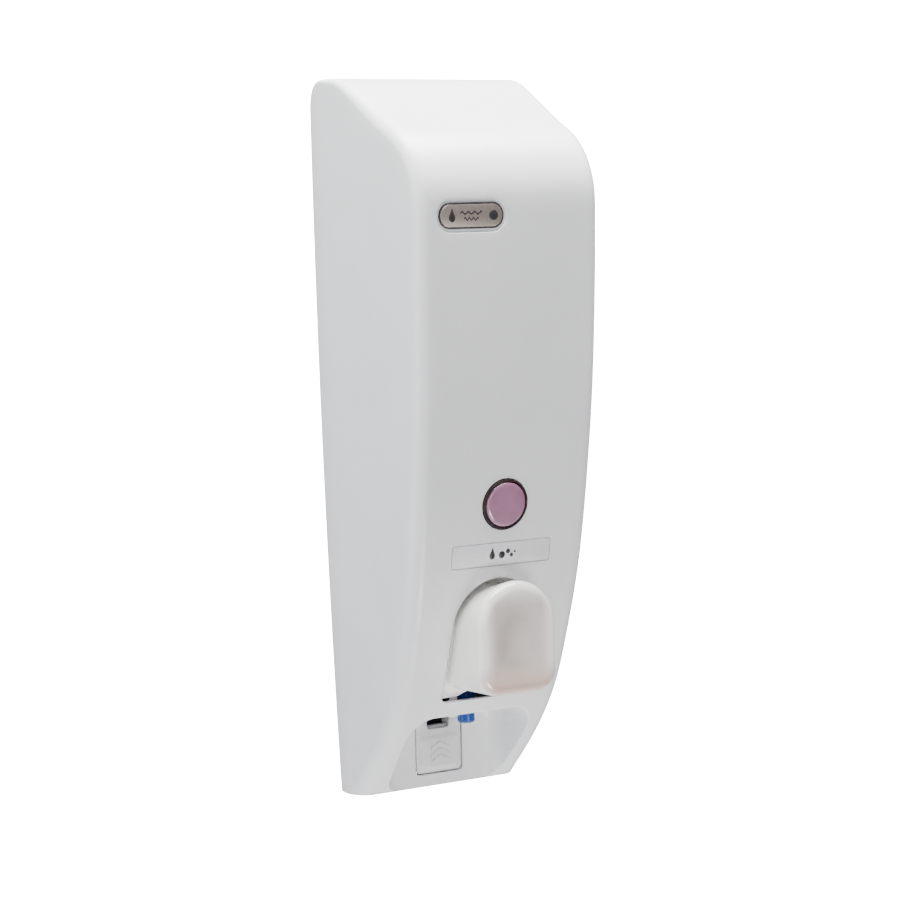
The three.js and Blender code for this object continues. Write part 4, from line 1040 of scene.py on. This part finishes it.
def raised(name, lay, outline, low, high, edge=0.15, smooth=40):
    """A flat raised figure with a softened edge."""
    shell = Shell()
    normals = outward(outline)
    turn = 1 if sum(a[0] * b[1] - a[1] * b[0]
                    for a, b in zip(outline, outline[1:] + outline[:1])) > 0 else -1
    rings = [(0.0, low), (0.0, high - edge), (edge * 0.3, high - edge * 0.3), (edge, high)]
    rows = []
    for inset, c in rings:
        rows.append([lay(x - n.x * inset * turn, y - n.y * inset * turn, c)
                     for (x, y), n in zip(outline, normals)])
    shell.capped(rows)
    return shell.made(name, smooth)


def drop_outline(x, y, size, steps=28):
    """A drop, point upwards."""
    out = []
    for k in range(steps):
        a = 2 * math.pi * k / steps
        reach = 1 + 0.75 * max(math.cos(a), 0) ** 6
        out.append((x + size * 0.72 * math.sin(a) * (1 - 0.35 * max(math.cos(a), 0)),
                    y + size * math.cos(a) * reach))
    return out[::-1]


def circle(x, y, radius, steps=20):
    return [(x + radius * math.cos(2 * math.pi * k / steps),
             y + radius * math.sin(2 * math.pi * k / steps)) for k in range(steps)]


def window():
    lay = front_frame(0, WINDOW_HEIGHT)
    seal = [(9.05, 0.55), (9.2, 0.75), (9.45, 0.75), (9.55, 0.45), (9.62, 0.45), (9.7, 0.62),
            (9.82, 0.6), (9.9, 0.35),
            (9.9, -2.7), (11.9, -2.7), (11.9, -3.9), (9.05, -3.9), (9.05, 0.55)]
    lens = [(0.02, 1.42), (3.0, 1.42), (6.0, 1.4), (7.4, 1.36), (8.0, 1.26), (8.45, 0.98), (8.7, 0.6),
            (8.75, 0.2), (8.75, -3.6),
            (7.4, -3.6), (7.0, -2.2), (0.02, -2.2)]
    return turned("window_gasket", lay, seal, 80), turned("window_disc", lay, lens, 80)


def badge():
    lay = front_frame(BADGE_X, BADGE_HEIGHT)
    half, tall = BADGE_HALF - 1.75, BADGE_TALL / 2 - 2.0
    outline = filled_in(box_outline(-half, half, -tall, tall, tall - 0.01, 14), 2.0)
    rim = box_outline(-half - 0.7, half + 0.7, -tall - 0.7, tall + 0.7, tall + 0.69, 14)
    bezel = raised("badge_bezel", lay, filled_in(rim, 2.0), -BADGE_SINK + 0.05, -0.2, 0.15)
    plate = raised("badge_face", lay, outline, -BADGE_SINK + 0.1, 0.02, 0.2)
    motif = [raised("badge_motif_drop", lay, drop_outline(-8.6, -0.5, 1.9), -0.05, 0.1, 0.04)]
    for k, (x, width) in enumerate(((-0.2, 9.6), (-0.2, 6.4))):
        y = 1.05 - 2.3 * k
        wave = [(x - width / 2 + width * i / 24, y + 0.45 * math.sin(i * 0.9)) for i in range(25)]
        band = [(a, b - 0.32) for a, b in wave] + [(a, b + 0.32) for a, b in wave[::-1]]
        motif.append(raised("badge_motif_wave_%d" % (k + 1), lay, band, -0.05, 0.1, 0.04))
    motif.append(raised("badge_motif_ring", lay, circle(9.6, 0.0, 1.9, 28), -0.05, 0.1, 0.04))
    return bezel, plate, motif


def label():
    lay = front_frame(0, LABEL_HEIGHT)
    half, tall = LABEL_HALF - 0.3, LABEL_TALL / 2 - 0.3
    outline = filled_in(box_outline(-half, half, -tall, tall, 0.9), 3.0)
    plate = raised("label_strip", lay, outline, -LABEL_SINK + 0.1, -0.2, 0.12)
    prints = [raised("label_print_drop", lay, drop_outline(-4.2, -0.35, 1.75), -0.25, -0.13, 0.03)]
    for k, (x, y, radius) in enumerate(((0.2, -0.5, 1.45), (2.9, 0.75, 0.95), (4.6, -0.9, 0.75),
                                        (6.0, 0.4, 0.45))):
        prints.append(raised("label_print_bubble_%d" % (k + 1), lay, circle(x, y, radius), -0.25, -0.13,
                             0.03))
    return plate, prints


# ---------------------------------------------------------------- the release button
BUTTON = dict(half=10.5, low=5.5, high=26.4, back=12.8, pad_top=20.9, pivot=(11.0, 25.0))
PAD_RISE, PAD_BORDER = 1.0, 0.9


def button_outline(inset=0.0):
    half, low, high = BUTTON["half"] - inset, BUTTON["low"] + inset, BUTTON["high"] - inset
    notch, notch_low = SLOT_HALF + inset, NOTCH_LOW - inset
    corner = max(1.7 - inset, 0.5)
    points = [(-half, low, corner), (half, low, corner), (half, high, 0.6), (notch, high),
              (notch, notch_low, 1.6), (-notch, notch_low, 1.6),
              (-notch, high), (-half, high, 0.6)]
    return rounded(points, 5)


def release_button():
    shell = Shell()
    rows = []
    for inset, depth in ((0.0, BUTTON["back"]), (0.0, SCOOP_DEPTH - 0.5), (0.15, SCOOP_DEPTH - 0.15),
                         (0.5, SCOOP_DEPTH)):
        rows.append([at(x, depth, z) for x, z in button_outline(inset)])
    shell.rows(rows, closed=True)
    face = button_outline(0.5)
    half, top = BUTTON["half"] - PAD_BORDER, BUTTON["pad_top"]
    pads = []
    for inset, depth in ((0.0, SCOOP_DEPTH), (0.25, SCOOP_DEPTH + 0.1),
                         (1.35, SCOOP_DEPTH + PAD_RISE - 0.12), (1.75, SCOOP_DEPTH + PAD_RISE)):
        pads.append((box_outline(-half + inset, half - inset, BUTTON["low"] + PAD_BORDER + inset,
                                 top - inset, 2.0 - inset * 0.5, 6), depth))
    shell.rows([[at(x, d, z) for x, z in ring] for ring, d in pads], closed=True)
    foot = pads[0][0]
    flat = triangulated(face + foot, ring_edges(0, len(face)) + ring_edges(len(face), len(foot)),
                        lambda c: inside(c, face) and not inside(c, foot))
    shell.add([at(x, SCOOP_DEPTH, z) for x, z in face + foot], flat)
    head = pads[-1][0]
    chevrons = []
    for z in (8.9, 11.6, 14.3):
        chevrons.append([(-4.6, z), (0, z + 2.6), (4.6, z), (4.6, z + 1.5), (0, z + 4.1), (-4.6, z + 1.5)])
    points, edges = list(head), ring_edges(0, len(head))
    for chevron in chevrons:
        edges += ring_edges(len(points), len(chevron))
        points += chevron
    top_faces = triangulated(points, edges, lambda c: inside(c, head)
                             and not any(inside(c, v) for v in chevrons))
    level = SCOOP_DEPTH + PAD_RISE
    shell.add([at(x, level, z) for x, z in points], top_faces)
    for chevron in chevrons:
        middle = (sum(p[0] for p in chevron) / 6, sum(p[1] for p in chevron) / 6)
        tip = [(x + (middle[0] - x) * 0.08, z + (middle[1] - z) * 0.16) for x, z in chevron]
        shell.rows([[at(x, level, z) for x, z in chevron], [at(x, level + 0.5, z) for x, z in tip]],
                   closed=True)
        faces = triangulated(tip, ring_edges(0, 6), lambda c, t=tip: inside(c, t))
        shell.add([at(x, level + 0.5, z) for x, z in tip], faces)
    back = button_outline(0.0)
    shell.add([at(x, BUTTON["back"], z) for x, z in back],
              triangulated(back, ring_edges(0, len(back)), lambda c: inside(c, back)))
    return shell.made("button_pad", smooth=35)


def button_works():
    """The button's trunnions, and the arm with the barb that holds the cover shut."""
    shell = Shell()
    depth, height = BUTTON["pivot"]
    for side in (-1, 1):
        stops = [(5.3, 0.02), (5.3, 2.1), (5.5, 2.3), (10.3, 2.3), (10.5, 2.1), (10.5, 1.2),
                 (13.9, 1.2), (14.1, 1.0), (14.1, 0.02)]
        rows = []
        for x, radius in stops:
            turns = (2 * math.pi * k / 24 for k in range(24))
            rows.append([at(side * x, depth + radius * math.cos(a), height + radius * math.sin(a))
                         for a in turns])
        shell.capped(rows)
    rib = rounded([(12.9, 21.6), (12.9, 24.2, 0.4), (9.6, 24.2, 0.4), (9.6, 21.6, 0.4)], 3)
    rows = [[at(x, d, z) for d, z in rib] for x in (-5.1, 5.1)]
    shell.capped(rows)
    barb = rounded([(12.78, 14.1, 0.4), (12.78, 17.1, 0.4), (3.6, 17.1, 0.3), (3.6, 12.1, 0.3),
                    (5.4, 12.1, 0.6), (5.4, 14.1, 0.5)], 4)
    rows = [[at(x, d, z) for d, z in barb] for x in (-3.0, -2.8, 2.8, 3.0)]
    shell.capped(rows)
    return shell.made("button_catch_arm", smooth=35)


# ---------------------------------------------------------------- the nozzle
PUMP_AXIS = 37.0


def nozzle():
    profile = [(1.9, 29.5), (2.2, 29.38), (2.7, 29.4), (3.1, 29.6), (3.38, 30.0), (3.45, 30.6),
               (3.45, 53.1), (2.3, 53.1), (2.3, 49.1),
               (1.9, 48.1), (1.9, 29.5)]

    def lay(a, b, c):
        return at(a, PUMP_AXIS + b, c)

    return turned("nozzle_tube", lay, [(r, z) for r, z in profile], 48)


# ---------------------------------------------------------------- assembly
dress(front_cover(), COVER_WHITE, "cover", "cover_white", "front_cover")
dress(push_lever(), LEVER_CREAM, "lever", "lever_cream", "push_lever")
gasket, disc = window()
dress(gasket, RUBBER_DARK, "cover", "rubber_dark", "window_seal")
dress(disc, LENS_PINK, "cover", "lens_pink", "window_lens")
bezel, plate, motif = badge()
dress(bezel, BEZEL_DARK, "cover", "rubber_dark")
dress(plate, BADGE_METAL, "cover", "badge_metal", "badge_plate")
for figure in motif:
    dress(figure, BEZEL_DARK, "cover", "badge_metal")
strip, prints = label()
dress(strip, LABEL_WHITE, "cover", "label_film", "label_plate")
for figure in prints:
    dress(figure, PRINT_BLACK, "cover", "label_film")
dress(release_button(), BUTTON_WHITE, "button", "button_white", "release_button")
dress(button_works(), BUTTON_WHITE, "button", "button_white")
dress(nozzle(), PUMP_BLUE, "wall_side", "pump_blue", "nozzle")

KEPT = {
    "inner_plastic": (INNER_PAINTED_SHADE, ["back_plate", "reservoir_lid", "collar_nut", "bellows_ring"]),
    "foam_grey": (FOAM_GREY, ["tape_pad_lower", "tape_pad_upper"]),
    "tank_clear": (TANK_CLEAR, ["reservoir"]),
    "silicone": (SILICONE, ["lid_seal", "inlet_valve", "outlet_valve", "pump_bellows"]),
    "rubber_dark": (RUBBER_DARK, ["neck_seal"]),
    "pump_blue": (PUMP_BLUE, ["pump_body", "pump_plunger"]),
    "pin_steel": (PIN_STEEL, ["bellows_spring", "hinge_pin_left", "hinge_pin_right", "lever_pin"]),
}
for material, names in KEPT.values():
    for name in names:
        node = bpy.data.objects[name]
        for place in node.material_slots:
            place.material = material


# ---------------------------------------------------------------- floor, light and camera
def floor():
    """A wide pale floor well below the dispenser."""
    shell = Shell()
    size, height = 6.0, -0.75
    steps = [size * (k / 6 - 0.5) * 2 for k in range(7)]
    shell.rows([[Vector((x, y, height)) for x in steps] for y in steps])
    piece = shell.made("floor")
    material = plastic("floor_white", (0.9, 0.9, 0.9), 0.99, 0.6, 0.7, 0.05)
    nodes, links = material.node_tree.nodes, material.node_tree.links
    seen = nodes.new("ShaderNodeEmission")
    seen.inputs["Color"].default_value = (1, 1, 1, 1)
    seen.inputs["Strength"].default_value = WORLD_SEEN
    ray, mix = nodes.new("ShaderNodeLightPath"), nodes.new("ShaderNodeMixShader")
    links.new(ray.outputs["Is Camera Ray"], mix.inputs["Fac"])
    links.new(nodes["Principled BSDF"].outputs["BSDF"], mix.inputs[1])
    links.new(seen.outputs["Emission"], mix.inputs[2])
    links.new(mix.outputs["Shader"], nodes["Material Output"].inputs["Surface"])
    piece.data.materials.append(material)


def area_light(name, place, towards, width, height, power, colour=(1, 1, 1)):
    data = bpy.data.lights.new(name, "AREA")
    data.shape = "RECTANGLE"
    data.size, data.size_y = width, height
    data.energy = power
    data.color = colour
    lamp = bpy.data.objects.new(name, data)
    lamp.location = place
    lamp.rotation_euler = (Vector(towards) - Vector(place)).to_track_quat("-Z", "Y").to_euler()
    bpy.context.scene.collection.objects.link(lamp)


def surroundings():
    """White all round: plain white where it is seen, softer as a light."""
    world = bpy.data.worlds.new("white_studio")
    world.use_nodes = True
    nodes, links = world.node_tree.nodes, world.node_tree.links
    soft = nodes["Background"]
    soft.inputs["Color"].default_value = (0.96, 0.97, 1.0, 1)
    soft.inputs["Strength"].default_value = WORLD_LIGHT
    seen = nodes.new("ShaderNodeBackground")
    seen.inputs["Color"].default_value = (1, 1, 1, 1)
    seen.inputs["Strength"].default_value = WORLD_SEEN
    ray, mix = nodes.new("ShaderNodeLightPath"), nodes.new("ShaderNodeMixShader")
    links.new(ray.outputs["Is Camera Ray"], mix.inputs["Fac"])
    links.new(soft.outputs["Background"], mix.inputs[1])
    links.new(seen.outputs["Background"], mix.inputs[2])
    links.new(mix.outputs["Shader"], nodes["World Output"].inputs["Surface"])
    bpy.context.scene.world = world


def camera():
    """The product view: from the left, a little above, and turned a little about its own axis."""
    azimuth, elevation, roll = (math.radians(a) for a in (30.97, 5.19, 1.504))
    target = Vector((0.0004, -0.0293, -0.0046))
    forward = Vector((math.cos(elevation) * math.sin(azimuth), math.cos(elevation) * math.cos(azimuth),
                      -math.sin(elevation)))
    across = Vector((math.cos(azimuth), -math.sin(azimuth), 0))
    upright = across.cross(forward)
    up = upright * math.cos(roll) + across * math.sin(roll)
    right = across * math.cos(roll) - upright * math.sin(roll)
    data = bpy.data.cameras.new("camera")
    data.lens, data.sensor_width = 100.9, 36
    data.clip_start = 0.01
    piece = bpy.data.objects.new("camera", data)
    piece.matrix_world = Matrix.Translation(target
                                            - forward) @ Matrix((right, up, -forward)).transposed().to_4x4()
    bpy.context.scene.collection.objects.link(piece)
    bpy.context.scene.camera = piece


WORLD_LIGHT, WORLD_SEEN = 0.2, 30.0
surroundings()
floor()
area_light("top_soft", (0.0, -0.08, 0.75), (0, -0.03, 0.14), 0.8, 0.35, 42.0)
area_light("left_soft", (-1.25, -0.10, 0.10), (0, -0.04, 0), 0.35, 1.3, 9.0, (0.92, 0.95, 1.0))
area_light("edge_strip", (-1.15, -0.50, 0.22), (0, -0.05, 0), 0.035, 0.9, 3.0)
area_light("front_soft", (-0.62, -1.15, 0.25), (0, -0.05, 0), 0.10, 0.8, 2.6)
area_light("low_front", (0.02, -0.60, -0.42), (0, -0.02, -0.11), 0.25, 0.15, 2.4, (1.0, 0.98, 0.99))
camera()
